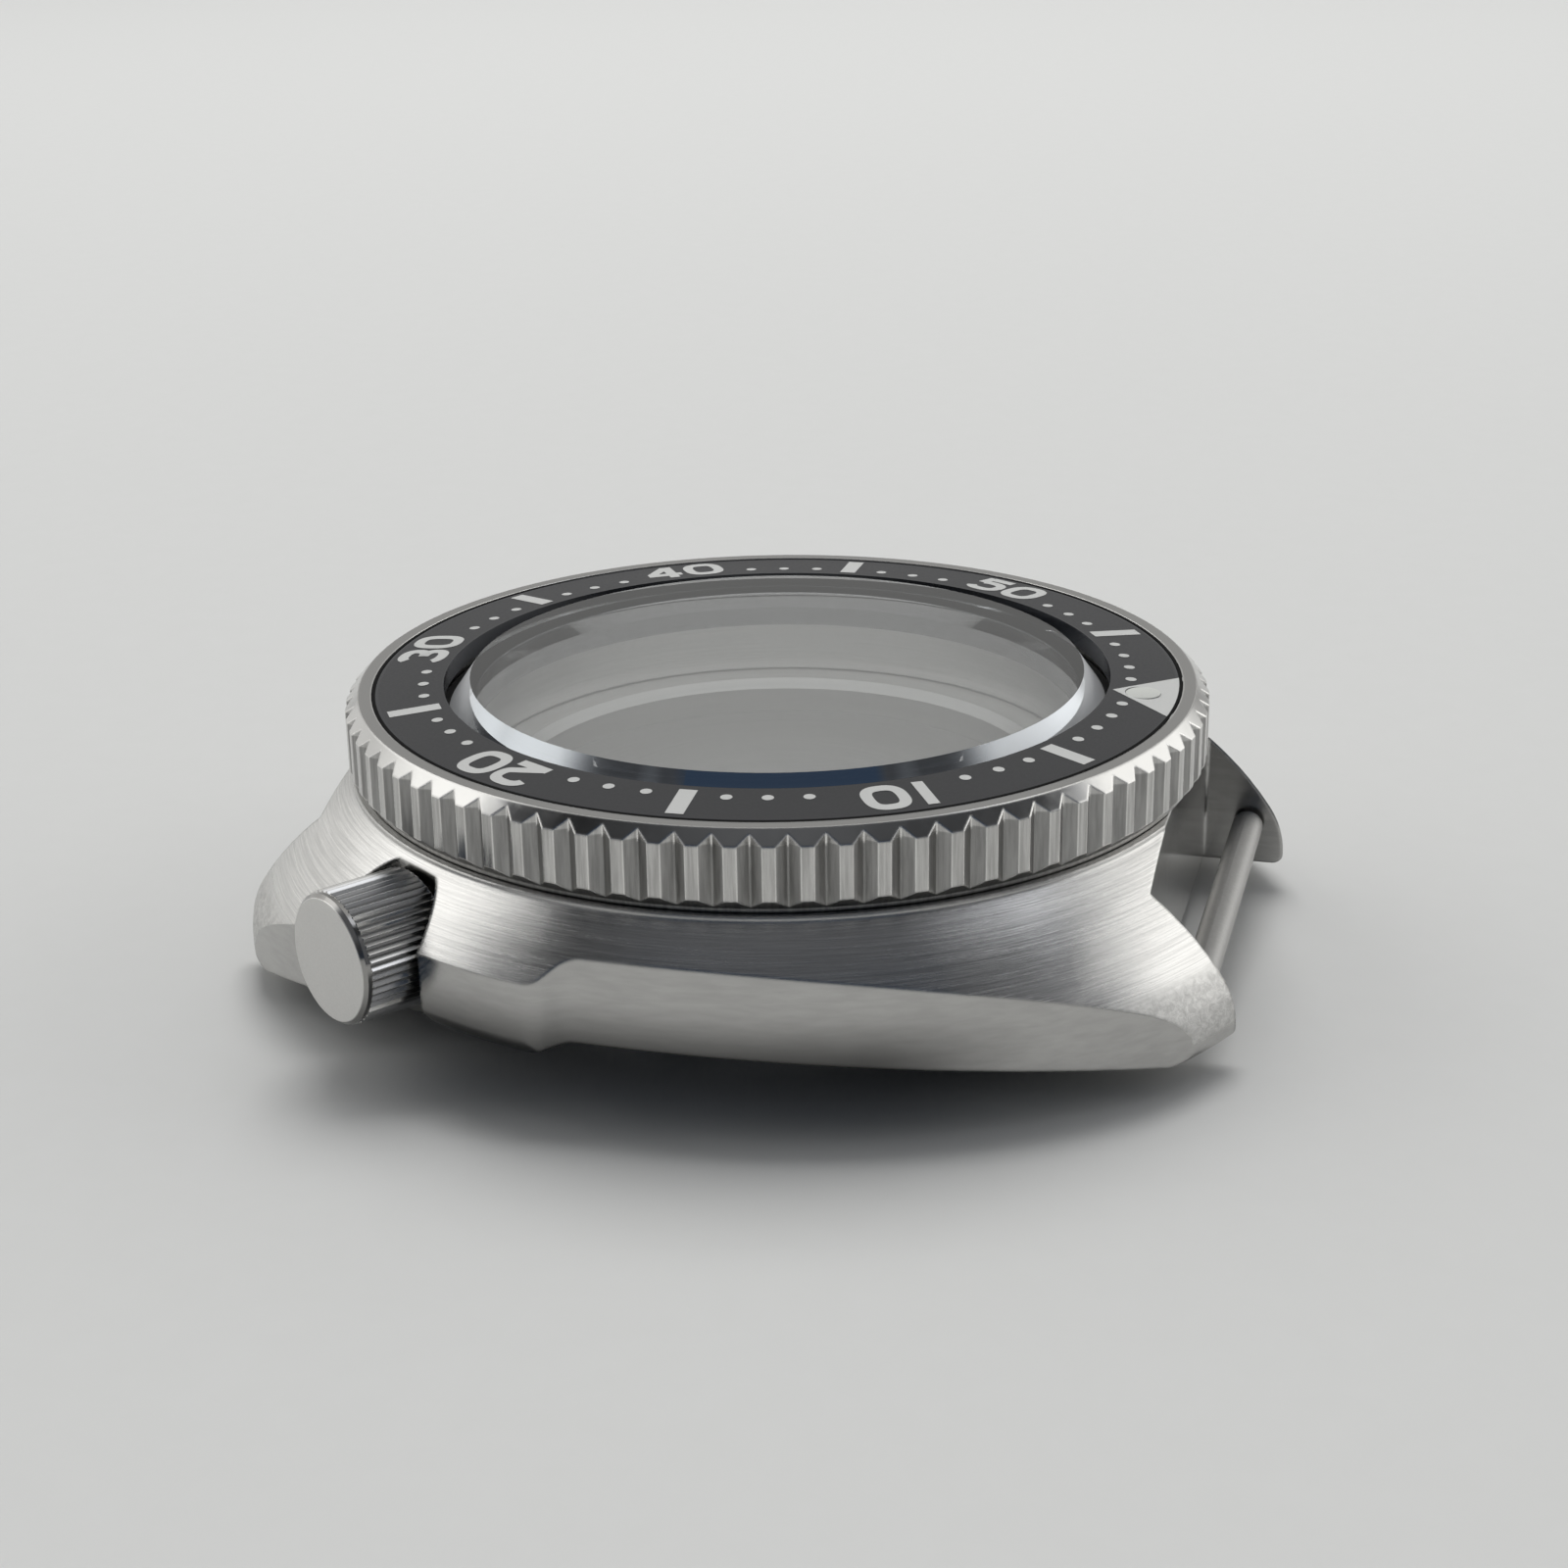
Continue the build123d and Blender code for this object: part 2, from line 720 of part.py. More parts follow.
# Ring between back and case
with BuildPart() as caseback_gasket:
    with BuildSketch(Plane.XY.offset(back_gasket_low_z)):
        Circle(back_gasket_outer_r)
        Circle(back_gasket_inner_r, mode=Mode.SUBTRACT)
    extrude(amount=back_gasket_high_z - back_gasket_low_z)

# Tube in the case wall, with two ring grooves in its bore
with BuildPart() as crown_tube:
    with BuildSketch(crown_section):
        with BuildLine():
            Polyline(
                (tube_hole_s, tube_bore_r),
                (tube_hole_s, tube_press_r),
                (pocket_s, tube_press_r),
                (pocket_s, tube_thread_r),
                (tube_end_s, tube_thread_r),
                (tube_end_s, tube_bore_r),
                (ring_groove_far_s + ring_groove_width, tube_bore_r),
                (ring_groove_far_s + ring_groove_width, ring_groove_r),
                (ring_groove_far_s, ring_groove_r),
                (ring_groove_far_s, tube_bore_r),
                (ring_groove_near_s + ring_groove_width, tube_bore_r),
                (ring_groove_near_s + ring_groove_width, ring_groove_r),
                (ring_groove_near_s, ring_groove_r),
                (ring_groove_near_s, tube_bore_r),
                close=True,
            )
        make_face()
    revolve(axis=crown_axis)

# The two square rings in those grooves
with BuildPart() as tube_gaskets:
    with BuildSketch(
        crown_face.offset(ring_groove_near_s + ring_side_gap),
        crown_face.offset(ring_groove_far_s + ring_side_gap),
    ):
        Circle(ring_outer_r)
        Circle(ring_inner_r, mode=Mode.SUBTRACT)
    extrude(amount=ring_groove_width - 2 * ring_side_gap)

# Crown head, knurled, with a polished edge round a flat face
knurl_points = []
for knurl in range(knurl_count):
    knurl_points.append(heading(knurl * 360 / knurl_count) * knurl_r)
    knurl_points.append(heading((2 * knurl + 1) * 180 / knurl_count) * knurl_root_r)
with BuildPart() as crown_head:
    with BuildSketch(crown_section):
        with BuildLine():
            Polyline(
                (crown_in_s, 0),
                (crown_in_s, crown_in_r),
                (knurl_in_s, band_r),
                (knurl_in_s, knurl_root_r),
                (knurl_out_s, knurl_root_r),
                (knurl_out_s, band_r),
                (band_s, band_r),
                (face_s, face_r),
                (face_s, 0),
                close=True,
            )
        make_face()
    revolve(axis=crown_axis)
    with BuildSketch(crown_face.offset(knurl_in_s)):
        with BuildLine():
            Polyline(*knurl_points, close=True)
        make_face()
    extrude(amount=knurl_out_s - knurl_in_s)
    with BuildSketch(crown_face.offset(crown_in_s)):
        Circle(head_bore_r)
    extrude(amount=head_floor_s - crown_in_s, mode=Mode.SUBTRACT)
    with BuildSketch(crown_face.offset(head_floor_s)):
        Circle(pipe_r + fit_gap)
    extrude(amount=pipe_socket_s - head_floor_s, mode=Mode.SUBTRACT)

# Sleeve inside the crown that slides in the tube
with BuildPart() as crown_pipe:
    with BuildSketch(crown_section):
        with BuildLine():
            Polyline(
                (pipe_in_s, pipe_collar_r),
                (pipe_in_s, pipe_r),
                (pipe_socket_s, pipe_r),
                (pipe_socket_s, pipe_bore_r),
                (pipe_collar_s, pipe_bore_r),
                (pipe_collar_s, pipe_collar_r),
                close=True,
            )
        make_face()
    revolve(axis=crown_axis)

# Washer inside the crown that seals on the end of the tube
with BuildPart() as crown_gasket:
    with BuildSketch(crown_face.offset(washer_in_s)):
        Circle(washer_outer_r)
        Circle(washer_inner_r, mode=Mode.SUBTRACT)
    extrude(amount=head_floor_s - washer_in_s)

# Sprung post with a threaded hole for the winding stem
with BuildPart() as crown_post:
    with BuildSketch(crown_section):
        with BuildLine():
            Polyline(
                (post_in_s, stem_thread_r),
                (post_in_s, post_shaft_r),
                (pipe_collar_s, post_shaft_r),
                (pipe_collar_s, post_flange_r),
                (post_flange_s, post_flange_r),
                (post_flange_s, 0),
                (stem_thread_s, 0),
                (stem_thread_s, stem_thread_r),
                close=True,
            )
        make_face()
    revolve(axis=crown_axis)

# Coil spring behind the post, as a sleeve of the coil's size
with BuildPart() as crown_spring:
    with BuildSketch(crown_face.offset(post_flange_s + fit_gap)):
        Circle(post_spring_outer_r)
        Circle(post_spring_inner_r, mode=Mode.SUBTRACT)
    extrude(amount=pipe_socket_s - post_flange_s - 2 * fit_gap)


# Strap bars: a tube, two sprung pins and a sleeve of the coil spring's size between them
def bar_section(y):
    return Plane(origin=(0, y, bar_z), x_dir=(1, 0, 0), z_dir=(0, -1, 0))


def pin_outline(side):
    Polyline(
        (side * pin_inner_x, 0),
        (side * pin_inner_x, pin_head_r),
        (side * pin_neck_x, pin_head_r),
        (side * pin_neck_x, pin_tip_r),
        (side * pin_tip_x, pin_tip_r),
        (side * pin_tip_x, 0),
        close=True,
    )


def tube_outline():
    Polyline(
        (-bar_tube_half, bar_crimp_r),
        (-bar_tube_half, bar_tube_r),
        (bar_tube_half, bar_tube_r),
        (bar_tube_half, bar_crimp_r),
        (bar_tube_half - bar_crimp_length, bar_crimp_r),
        (bar_tube_half - bar_crimp_length, bar_bore_r),
        (-bar_tube_half + bar_crimp_length, bar_bore_r),
        (-bar_tube_half + bar_crimp_length, bar_crimp_r),
        close=True,
    )


bar_spring_half = pin_inner_x - fit_gap
bar_12_axis = Axis((0, bar_y, bar_z), (1, 0, 0))
bar_6_axis = Axis((0, -bar_y, bar_z), (1, 0, 0))

with BuildPart() as spring_bar_12_tube:
    with BuildSketch(bar_section(bar_y)):
        with BuildLine():
            tube_outline()
        make_face()
    revolve(axis=bar_12_axis)

with BuildPart() as spring_bar_12_pin_left:
    with BuildSketch(bar_section(bar_y)):
        with BuildLine():
            pin_outline(-1)
        make_face()
    revolve(axis=bar_12_axis)

with BuildPart() as spring_bar_12_pin_right:
    with BuildSketch(bar_section(bar_y)):
        with BuildLine():
            pin_outline(1)
        make_face()
    revolve(axis=bar_12_axis)

with BuildPart() as spring_bar_12_spring:
    with BuildSketch(Plane.YZ.offset(-bar_spring_half)):
        with Locations((bar_y, bar_z)):
            Circle(bar_spring_outer_r)
            Circle(bar_spring_inner_r, mode=Mode.SUBTRACT)
    extrude(amount=2 * bar_spring_half)

with BuildPart() as spring_bar_6_tube:
    with BuildSketch(bar_section(-bar_y)):
        with BuildLine():
            tube_outline()
        make_face()
    revolve(axis=bar_6_axis)

with BuildPart() as spring_bar_6_pin_left:
    with BuildSketch(bar_section(-bar_y)):
        with BuildLine():
            pin_outline(-1)
        make_face()
    revolve(axis=bar_6_axis)

with BuildPart() as spring_bar_6_pin_right:
    with BuildSketch(bar_section(-bar_y)):
        with BuildLine():
            pin_outline(1)
        make_face()
    revolve(axis=bar_6_axis)

with BuildPart() as spring_bar_6_spring:
    with BuildSketch(Plane.YZ.offset(-bar_spring_half)):
        with Locations((-bar_y, bar_z)):
            Circle(bar_spring_outer_r)
            Circle(bar_spring_inner_r, mode=Mode.SUBTRACT)
    extrude(amount=2 * bar_spring_half)

mid_case.part.label = "mid_case"
export_step(mid_case.part, "parts/mid_case.step")
crystal.part.label = "crystal"
export_step(crystal.part, "parts/crystal.step")
crystal_gasket.part.label = "crystal_gasket"
export_step(crystal_gasket.part, "parts/crystal_gasket.step")
bezel_ring.part.label = "bezel_ring"
export_step(bezel_ring.part, "parts/bezel_ring.step")
bezel_gasket.part.label = "bezel_gasket"
export_step(bezel_gasket.part, "parts/bezel_gasket.step")
click_spring.part.label = "click_spring"
export_step(click_spring.part, "parts/click_spring.step")
bezel_insert.part.label = "bezel_insert"
export_step(bezel_insert.part, "parts/bezel_insert.step")
bezel_pip.part.label = "bezel_pip"
export_step(bezel_pip.part, "parts/bezel_pip.step")
caseback.part.label = "caseback"
export_step(caseback.part, "parts/caseback.step")
caseback_gasket.part.label = "caseback_gasket"
export_step(caseback_gasket.part, "parts/caseback_gasket.step")
crown_tube.part.label = "crown_tube"
export_step(crown_tube.part, "parts/crown_tube.step")
tube_gaskets.part.label = "tube_gaskets"
export_step(tube_gaskets.part, "parts/tube_gaskets.step")
crown_head.part.label = "crown_head"
export_step(crown_head.part, "parts/crown_head.step")
crown_pipe.part.label = "crown_pipe"
export_step(crown_pipe.part, "parts/crown_pipe.step")
crown_gasket.part.label = "crown_gasket"
export_step(crown_gasket.part, "parts/crown_gasket.step")
crown_post.part.label = "crown_post"
export_step(crown_post.part, "parts/crown_post.step")
crown_spring.part.label = "crown_spring"
export_step(crown_spring.part, "parts/crown_spring.step")
spring_bar_12_tube.part.label = "spring_bar_12_tube"
export_step(spring_bar_12_tube.part, "parts/spring_bar_12_tube.step")
spring_bar_12_pin_left.part.label = "spring_bar_12_pin_left"
export_step(spring_bar_12_pin_left.part, "parts/spring_bar_12_pin_left.step")
spring_bar_12_pin_right.part.label = "spring_bar_12_pin_right"
export_step(spring_bar_12_pin_right.part, "parts/spring_bar_12_pin_right.step")
spring_bar_12_spring.part.label = "spring_bar_12_spring"
export_step(spring_bar_12_spring.part, "parts/spring_bar_12_spring.step")
spring_bar_6_tube.part.label = "spring_bar_6_tube"
export_step(spring_bar_6_tube.part, "parts/spring_bar_6_tube.step")
spring_bar_6_pin_left.part.label = "spring_bar_6_pin_left"
export_step(spring_bar_6_pin_left.part, "parts/spring_bar_6_pin_left.step")
spring_bar_6_pin_right.part.label = "spring_bar_6_pin_right"
export_step(spring_bar_6_pin_right.part, "parts/spring_bar_6_pin_right.step")
spring_bar_6_spring.part.label = "spring_bar_6_spring"
export_step(spring_bar_6_spring.part, "parts/spring_bar_6_spring.step")
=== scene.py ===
import bpy
import bmesh
import math
from mathutils import Matrix, Vector


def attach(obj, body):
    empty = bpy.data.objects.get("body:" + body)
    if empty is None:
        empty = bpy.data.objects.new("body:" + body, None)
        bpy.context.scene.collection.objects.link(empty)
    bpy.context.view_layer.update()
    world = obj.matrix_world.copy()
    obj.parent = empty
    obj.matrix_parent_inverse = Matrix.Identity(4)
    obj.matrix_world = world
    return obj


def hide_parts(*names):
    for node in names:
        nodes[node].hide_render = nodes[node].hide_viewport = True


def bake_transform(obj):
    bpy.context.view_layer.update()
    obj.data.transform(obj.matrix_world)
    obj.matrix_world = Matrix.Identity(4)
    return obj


# The empty watch case: its finishes, the scale on its bezel, its springs and a plain studio.
# Lengths are millimetres times MM, in the shared frame: +Z out of the glass, +Y to 12 o'clock.
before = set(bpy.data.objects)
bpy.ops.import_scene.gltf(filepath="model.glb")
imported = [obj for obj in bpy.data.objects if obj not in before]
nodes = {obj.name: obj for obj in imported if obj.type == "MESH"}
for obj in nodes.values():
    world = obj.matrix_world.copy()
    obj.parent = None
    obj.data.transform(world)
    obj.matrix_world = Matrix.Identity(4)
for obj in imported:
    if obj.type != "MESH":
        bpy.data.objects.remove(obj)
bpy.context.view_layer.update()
MM = 0.001
scene = bpy.context.scene

# Sizes that the finishes and the added pieces share with the solids
CROWN_ANGLE, CROWN_Z = math.radians(-34.5), 5.6
SPRING_BAR_Y, SPRING_BAR_Z = 21.5, 3.2
SCALE_ZERO = 92.15  # where the scale's triangle points, in degrees from +X
INSERT_IN_R, INSERT_OUT_R, INSERT_IN_Z, INSERT_OUT_Z = 15.7, 19.03, 13.0, 12.8

# Camera
AZ, EL, ROLL = math.radians(105.63), math.radians(21.08), math.radians(-0.86)
AIM_Z, DISTANCE, SHIFT_RIGHT, SHIFT_UP = 13.0, 130.47, 0.335, -5.464
SENSOR, FOCAL_PIXELS, IMAGE_PIXELS = 36.0, 2812.2, 1600
CLIP_NEAR, CLIP_FAR = 0.005, 20
back = Vector((math.sin(AZ) * math.cos(EL), -math.cos(AZ) * math.cos(EL), math.sin(EL)))
level_right = (-back).cross(Vector((0, 0, 1))).normalized()
level_up = level_right.cross(-back)
right = level_right * math.cos(ROLL) + level_up * math.sin(ROLL)
up = level_up * math.cos(ROLL) - level_right * math.sin(ROLL)
eye = (Vector((0, 0, AIM_Z)) * MM + back * DISTANCE * MM
       + right * SHIFT_RIGHT * MM + up * SHIFT_UP * MM)
cam_data = bpy.data.cameras.new("camera")
cam_data.sensor_width = SENSOR
cam_data.lens = FOCAL_PIXELS / IMAGE_PIXELS * SENSOR
cam_data.clip_start = CLIP_NEAR
cam_data.clip_end = CLIP_FAR
cam = bpy.data.objects.new("camera", cam_data)
cam.matrix_world = Matrix((
    (right.x, up.x, back.x, eye.x),
    (right.y, up.y, back.y, eye.y),
    (right.z, up.z, back.z, eye.z),
    (0, 0, 0, 1)))
scene.collection.objects.link(cam)
scene.camera = cam
scene.view_settings.view_transform = "Standard"


# Materials
class Mat:
    """A node tree being written: small helpers for the maths nodes."""

    def __init__(self, name, world=None):
        if world is None:
            self.m = bpy.data.materials.new(name)
            self.m.use_nodes = True
            self.t = self.m.node_tree
        else:
            self.t = world.node_tree
        self.t.nodes.clear()

    def add(self, kind, **values):
        n = self.t.nodes.new(kind)
        for k, v in values.items():
            setattr(n, k, v)
        return n

    def put(self, socket, value):
        if isinstance(value, bpy.types.NodeSocket):
            self.t.links.new(value, socket)
        else:
            socket.default_value = value

    def math(self, op, *values):
        n = self.add("ShaderNodeMath", operation=op)
        for i, v in enumerate(values):
            self.put(n.inputs[i], v)
        return n.outputs[0]

    def times(self, first, *rest):
        """Product of two or more values."""
        for v in rest:
            first = self.math("MULTIPLY", first, v)
        return first

    def size_of(self, a, b):
        """Length of the vector (a, b)."""
        return self.math("SQRT", self.math("ADD", self.times(a, a), self.times(b, b)))

    def band(self, value, lo, hi):
        """0 at lo and beyond, 1 at hi and beyond, with a soft step between."""
        n = self.add("ShaderNodeMapRange", clamp=True, interpolation_type="SMOOTHSTEP")
        self.put(n.inputs["Value"], value)
        self.put(n.inputs["From Min"], lo)
        self.put(n.inputs["From Max"], hi)
        return n.outputs[0]

    def zone(self, *bands):
        """Product of bands, each given as value, lo and hi."""
        return self.times(*[self.band(*b) for b in bands])

    def remap(self, value, lo, hi, a, b):
        """A straight line from a at lo to b at hi, level outside."""
        n = self.add("ShaderNodeMapRange", clamp=True)
        self.put(n.inputs["Value"], value)
        self.put(n.inputs["From Min"], lo)
        self.put(n.inputs["From Max"], hi)
        self.put(n.inputs["To Min"], a)
        self.put(n.inputs["To Max"], b)
        return n.outputs[0]

    def mix(self, fac, a, b):
        """Colour a, turning to colour b with the factor."""
        n = self.add("ShaderNodeMix", data_type="RGBA")
        self.put(n.inputs[0], fac)
        self.put(n.inputs[6], a)
        self.put(n.inputs[7], b)
        return n.outputs[2]

    def mixf(self, fac, a, b):
        """Number a, turning to number b with the factor."""
        n = self.add("ShaderNodeMix", data_type="FLOAT")
        self.put(n.inputs[0], fac)
        self.put(n.inputs[2], a)
        self.put(n.inputs[3], b)
        return n.outputs[0]

    def mix_shader(self, fac, a, b):
        n = self.add("ShaderNodeMixShader")
        for socket, value in zip(n.inputs, (fac, a, b)):
            self.put(socket, value)
        return n.outputs[0]

    def split(self, vector):
        n = self.add("ShaderNodeSeparateXYZ")
        self.put(n.inputs[0], vector)
        return list(n.outputs)

    def xyz(self):
        """Position in millimetres, in the shared frame."""
        place = self.split(self.add("ShaderNodeTexCoord").outputs["Object"])
        return [self.times(c, 1000.0) for c in place]

    def normal(self):
        return self.split(self.add("ShaderNodeNewGeometry").outputs["Normal"])

    def noise(self, coords, scale=1.0, detail=4.0, rough=0.6, distort=0.0, stretch=(1, 1, 1)):
        """Noise at three coordinates, each multiplied by its stretch."""
        at = self.add("ShaderNodeCombineXYZ")
        for socket, c, k in zip(at.inputs, coords, stretch):
            self.put(socket, c if k == 1 else self.times(c, k))
        n = self.add("ShaderNodeTexNoise")
        self.put(n.inputs["Vector"], at.outputs[0])
        self.put(n.inputs["Scale"], scale)
        self.put(n.inputs["Detail"], detail)
        self.put(n.inputs["Roughness"], rough)
        self.put(n.inputs["Distortion"], distort)
        return n.outputs["Fac"]

    def bump(self, height, strength, distance, base=None):
        n = self.add("ShaderNodeBump")
        self.put(n.inputs["Strength"], strength)
        self.put(n.inputs["Distance"], distance)
        self.put(n.inputs["Height"], height)
        if base is not None:
            self.put(n.inputs["Normal"], base)
        return n.outputs[0]

    def round_edge(self, radius):
        n = self.add("ShaderNodeBevel", samples=6)
        self.put(n.inputs["Radius"], radius)
        return n.outputs[0]

    def principled(self, **values):
        n = self.add("ShaderNodeBsdfPrincipled")
        for k, v in values.items():
            self.put(n.inputs[k.replace("_", " ")], v)
        return n.outputs[0]

    def out(self, shader):
        self.put(self.add("ShaderNodeOutputMaterial").inputs[0], shader)
        return self.m


def grey(v, tint=(1.0, 1.0, 1.0)):
    return (v * tint[0], v * tint[1], v * tint[2], 1.0)


STEEL = (1.0, 0.988, 0.962)
MID = (0.3, 0.7)  # the part of the noise that most of a surface has


def steel(v):
    return grey(v, STEEL)


def polar(m, p):
    """Angle round the dial's axis, and distance from it in millimetres."""
    return m.math("ARCTAN2", p[1], p[0]), m.size_of(p[0], p[1])


def edge_of(m, radius):
    """Rounded normal, and how near an edge the surface is."""
    rounded = m.round_edge(radius)
    dot = m.add("ShaderNodeVectorMath", operation="DOT_PRODUCT")
    m.put(dot.inputs[0], rounded)
    m.put(dot.inputs[1], m.add("ShaderNodeNewGeometry").outputs["Normal"])
    return rounded, m.band(dot.outputs["Value"], 0.985, 0.90)


def case_steel():
    """Circular brush on the top, satin flanks with painted shade towards their foot, upright
    streaks between the lugs, coarser lug ends, polished edges, and inside under the glass a
    polished band over a turned wall that is painted lighter than the steel outside, as painted
    light."""
    m = Mat("case_steel_brushed")
    p = x, y, z = m.xyz()
    _, ny, nz = m.normal()
    a, r = polar(m, p)
    far_y = m.math("ABSOLUTE", y)

    # Where each finish lies
    is_top = m.band(nz, 0.3, 0.42)
    is_wall = m.zone((m.math("ABSOLUTE", ny), 0.97, 0.995), (m.math("ABSOLUTE", x), 10.25, 10.15),
                     (far_y, 19.0, 19.2))
    is_tip = m.zone((r, 24.1, 24.75), (nz, 0.04, 0.10))
    inside = m.zone((r, 16.0, 15.99), (z, 1.0, 1.3))
    shiny = m.times(inside, m.band(z, 7.15, 7.25))
    rounded, near = edge_of(m, 0.22 * MM)
    near = m.times(near, m.math("SUBTRACT", 1.0, is_tip))

    # The grain of each
    top = m.noise((a, r, z), 1.0, 6.0, 0.68, stretch=(4.2, 11.0, 11.0))
    top_fine = m.noise((a, r, z), 1.0, 3.0, 0.6, stretch=(9.0, 19.0, 19.0))
    side = m.noise(p, 1.0, 5.0, 0.6, stretch=(1, 0.5, 3.0))
    wall = m.noise(p, 1.0, 4.0, 0.6, stretch=(3.4, 3.0, 0.25))
    coarse = m.noise(p, 1.0, 6.0, 0.75, 0.6, stretch=(2.6, 2.6, 3.4))
    turned = m.noise((a, r, z), 1.0, 3.0, 0.5, stretch=(1.2, 9.0, 11.0))
    grain = m.mixf(is_top, side, top)
    grain = m.mixf(is_wall, grain, wall)
    grain = m.mixf(is_tip, grain, coarse)
    grain = m.mixf(inside, grain, turned)

    # Colour: painted shade darkens the flank towards its foot, standing in for the shadow on the
    # floor that it reflects
    col = m.mix(m.band(grain, 0.25, 0.75), steel(0.45), steel(0.53))
    col = m.mix(m.zone((z, 6.0, 3.0), (far_y, 17.0, 9.0)), col, steel(0.11))
    col = m.mix(is_wall, col, steel(0.60))
    col = m.mix(is_top, col, m.mix(m.band(top, 0.34, 0.66), steel(0.53), steel(0.71)))
    col = m.mix(is_tip, col, m.mix(m.band(coarse, *MID), steel(0.45), steel(0.68)))
    # Painted light: the turned wall inside is painted much lighter than the steel outside, making
    # up for the little light that reaches it under the glass
    col = m.mix(inside, col, m.mix(turned, steel(0.80), steel(0.95)))
    col = m.mix(shiny, col, grey(0.27, (0.96, 0.99, 1.0)))

    rough = m.remap(grain, *MID, 0.19, 0.25)
    rough = m.mixf(is_top, rough, m.remap(top, *MID, 0.21, 0.29))
    rough = m.mixf(is_wall, rough, m.remap(wall, *MID, 0.11, 0.17))
    rough = m.mixf(is_tip, rough, 0.46)
    rough = m.mixf(shiny, rough, 0.12)
    rough = m.mixf(near, rough, 0.10)

    depth = m.mixf(is_tip, 0.06, 0.40)
    depth = m.mixf(is_top, depth, 0.22)
    depth = m.mixf(shiny, depth, 0.04)
    depth = m.mixf(near, depth, 0.0)
    bump = m.bump(m.math("ADD", grain, m.times(top_fine, 0.3)), depth, 0.06 * MM, rounded)

    # The brush runs round the dial, so its highlights spread along the radius
    around = m.add("ShaderNodeTangent", direction_type="RADIAL", axis="Z").outputs[0]
    brushed = m.times(is_top, 0.8, m.math("SUBTRACT", 1.0, near))
    return m.out(m.principled(Base_Color=col, Metallic=1.0, Roughness=rough, Normal=bump,
                              Anisotropic=brushed, Anisotropic_Rotation=0.25, Tangent=around))


def bezel_steel():
    """Satin lands and grooves with upright streaks, polished slope, top and edges, with painted
    shade in the grooves and a painted highlight on the outer edges.
    """
    m = Mat("bezel_steel_satin")
    p = _, _, z = m.xyz()
    nz = m.normal()[2]
    a, r = polar(m, p)
    streak = m.noise((a, r, z), 1.0, 4.0, 0.6, stretch=(110.0, 1, 0.35))
    blot = m.noise(p, 0.9, 3.0, 0.6)
    slope = m.band(nz, 0.35, 0.5)
    rim = m.band(nz, 0.9, 0.95)
    groove = m.zone((r, 20.29, 20.26), (z, 12.25, 12.15))
    rounded, near = edge_of(m, 0.15 * MM)
    outer_edge = m.math("MAXIMUM", m.band(r, 20.0, 20.15), m.band(z, 12.0, 12.2))
    near = m.times(near, outer_edge)
    polished = m.math("MAXIMUM", slope, near)

    streaky = m.band(streak, *MID)
    col = m.mix(streaky, steel(0.42), steel(0.62))
    # Painted shade: the grooves between the teeth are painted darker than the lands
    col = m.mix(groove, col, m.mix(streaky, steel(0.28), steel(0.40)))
    col = m.mix(slope, col, steel(0.56))
    col = m.mix(rim, col, steel(0.47))
    # Painted highlight: the polished outer edges are painted near white, besides their low
    # roughness
    col = m.mix(near, col, steel(0.96))

    rough = m.remap(streak, *MID, 0.18, 0.28)
    rough = m.mixf(groove, rough, 0.36)
    rough = m.mixf(slope, rough, m.remap(blot, 0.35, 0.7, 0.10, 0.20))
    rough = m.mixf(near, rough, 0.06)
    bump = m.bump(streak, m.mixf(polished, 0.16, 0.005), 0.04 * MM, rounded)
    return m.out(m.principled(Base_Color=col, Metallic=1.0, Roughness=rough, Normal=bump))


def crown_steel():
    """Satin, slightly grainy face, polished chamfer, bright knurls with painted shade in their
    grooves.
    """
    m = Mat("crown_steel_satin")
    p = x, y, z = m.xyz()
    ca, sa = math.cos(CROWN_ANGLE), math.sin(CROWN_ANGLE)
    out = m.math("ADD", m.times(x, ca), m.times(y, sa))
    across_crown = m.math("SUBTRACT", m.times(y, ca), m.times(x, sa))
    off = m.size_of(across_crown, m.math("SUBTRACT", z, CROWN_Z))
    face = m.band(out, 25.2, 25.24)
    knurl = m.band(out, 24.9, 24.84)
    groove = m.times(knurl, m.band(off, 2.93, 2.80))
    grain = m.noise(p, 9.0, 4.0, 0.7)
    soft = m.noise(p, 1.3, 3.0, 0.6)

    col = m.mix(grain, steel(0.60), steel(0.72))
    col = m.mix(face, grey(0.34, (1.0, 0.98, 0.95)), col)
    col = m.mix(knurl, col, steel(0.78))
    # Painted shade at the bottom of the knurls' grooves
    col = m.mix(groove, col, steel(0.16))
    rough = m.mixf(face, 0.10, m.remap(soft, *MID, 0.30, 0.36))
    rough = m.mixf(knurl, rough, 0.20)
    rough = m.mixf(groove, rough, 0.35)
    bump = m.bump(grain, m.mixf(face, 0.02, 0.08), 0.03 * MM, m.round_edge(0.04 * MM))
    return m.out(m.principled(Base_Color=col, Metallic=1.0, Roughness=rough, Normal=bump))


def insert_dark():
    """Matt dark grey ring with a bluish black edge and inner wall."""
    m = Mat("insert_dark_grey")
    p = m.xyz()
    r = polar(m, p)[1]
    grain = m.noise(p, 7.0, 5.0, 0.7)
    wide_grain = m.noise(p, 0.35, 3.0, 0.5)
    edge = m.math("MAXIMUM", m.band(r, 18.72, 18.76), m.band(r, 15.74, 15.71))
    col = m.mix(grain, (0.015, 0.0155, 0.018, 1), (0.021, 0.0215, 0.024, 1))
    col = m.mix(m.times(wide_grain, 0.35), col, (0.028, 0.028, 0.030, 1))
    col = m.mix(edge, col, (0.004, 0.005, 0.009, 1))
    rough = m.mixf(edge, m.remap(grain, *MID, 0.36, 0.44), 0.16)
    bump = m.bump(grain, 0.05, 0.02 * MM)
    return m.out(m.principled(Base_Color=col, Metallic=0.0, Roughness=rough, Normal=bump,
                              Specular_IOR_Level=0.5))


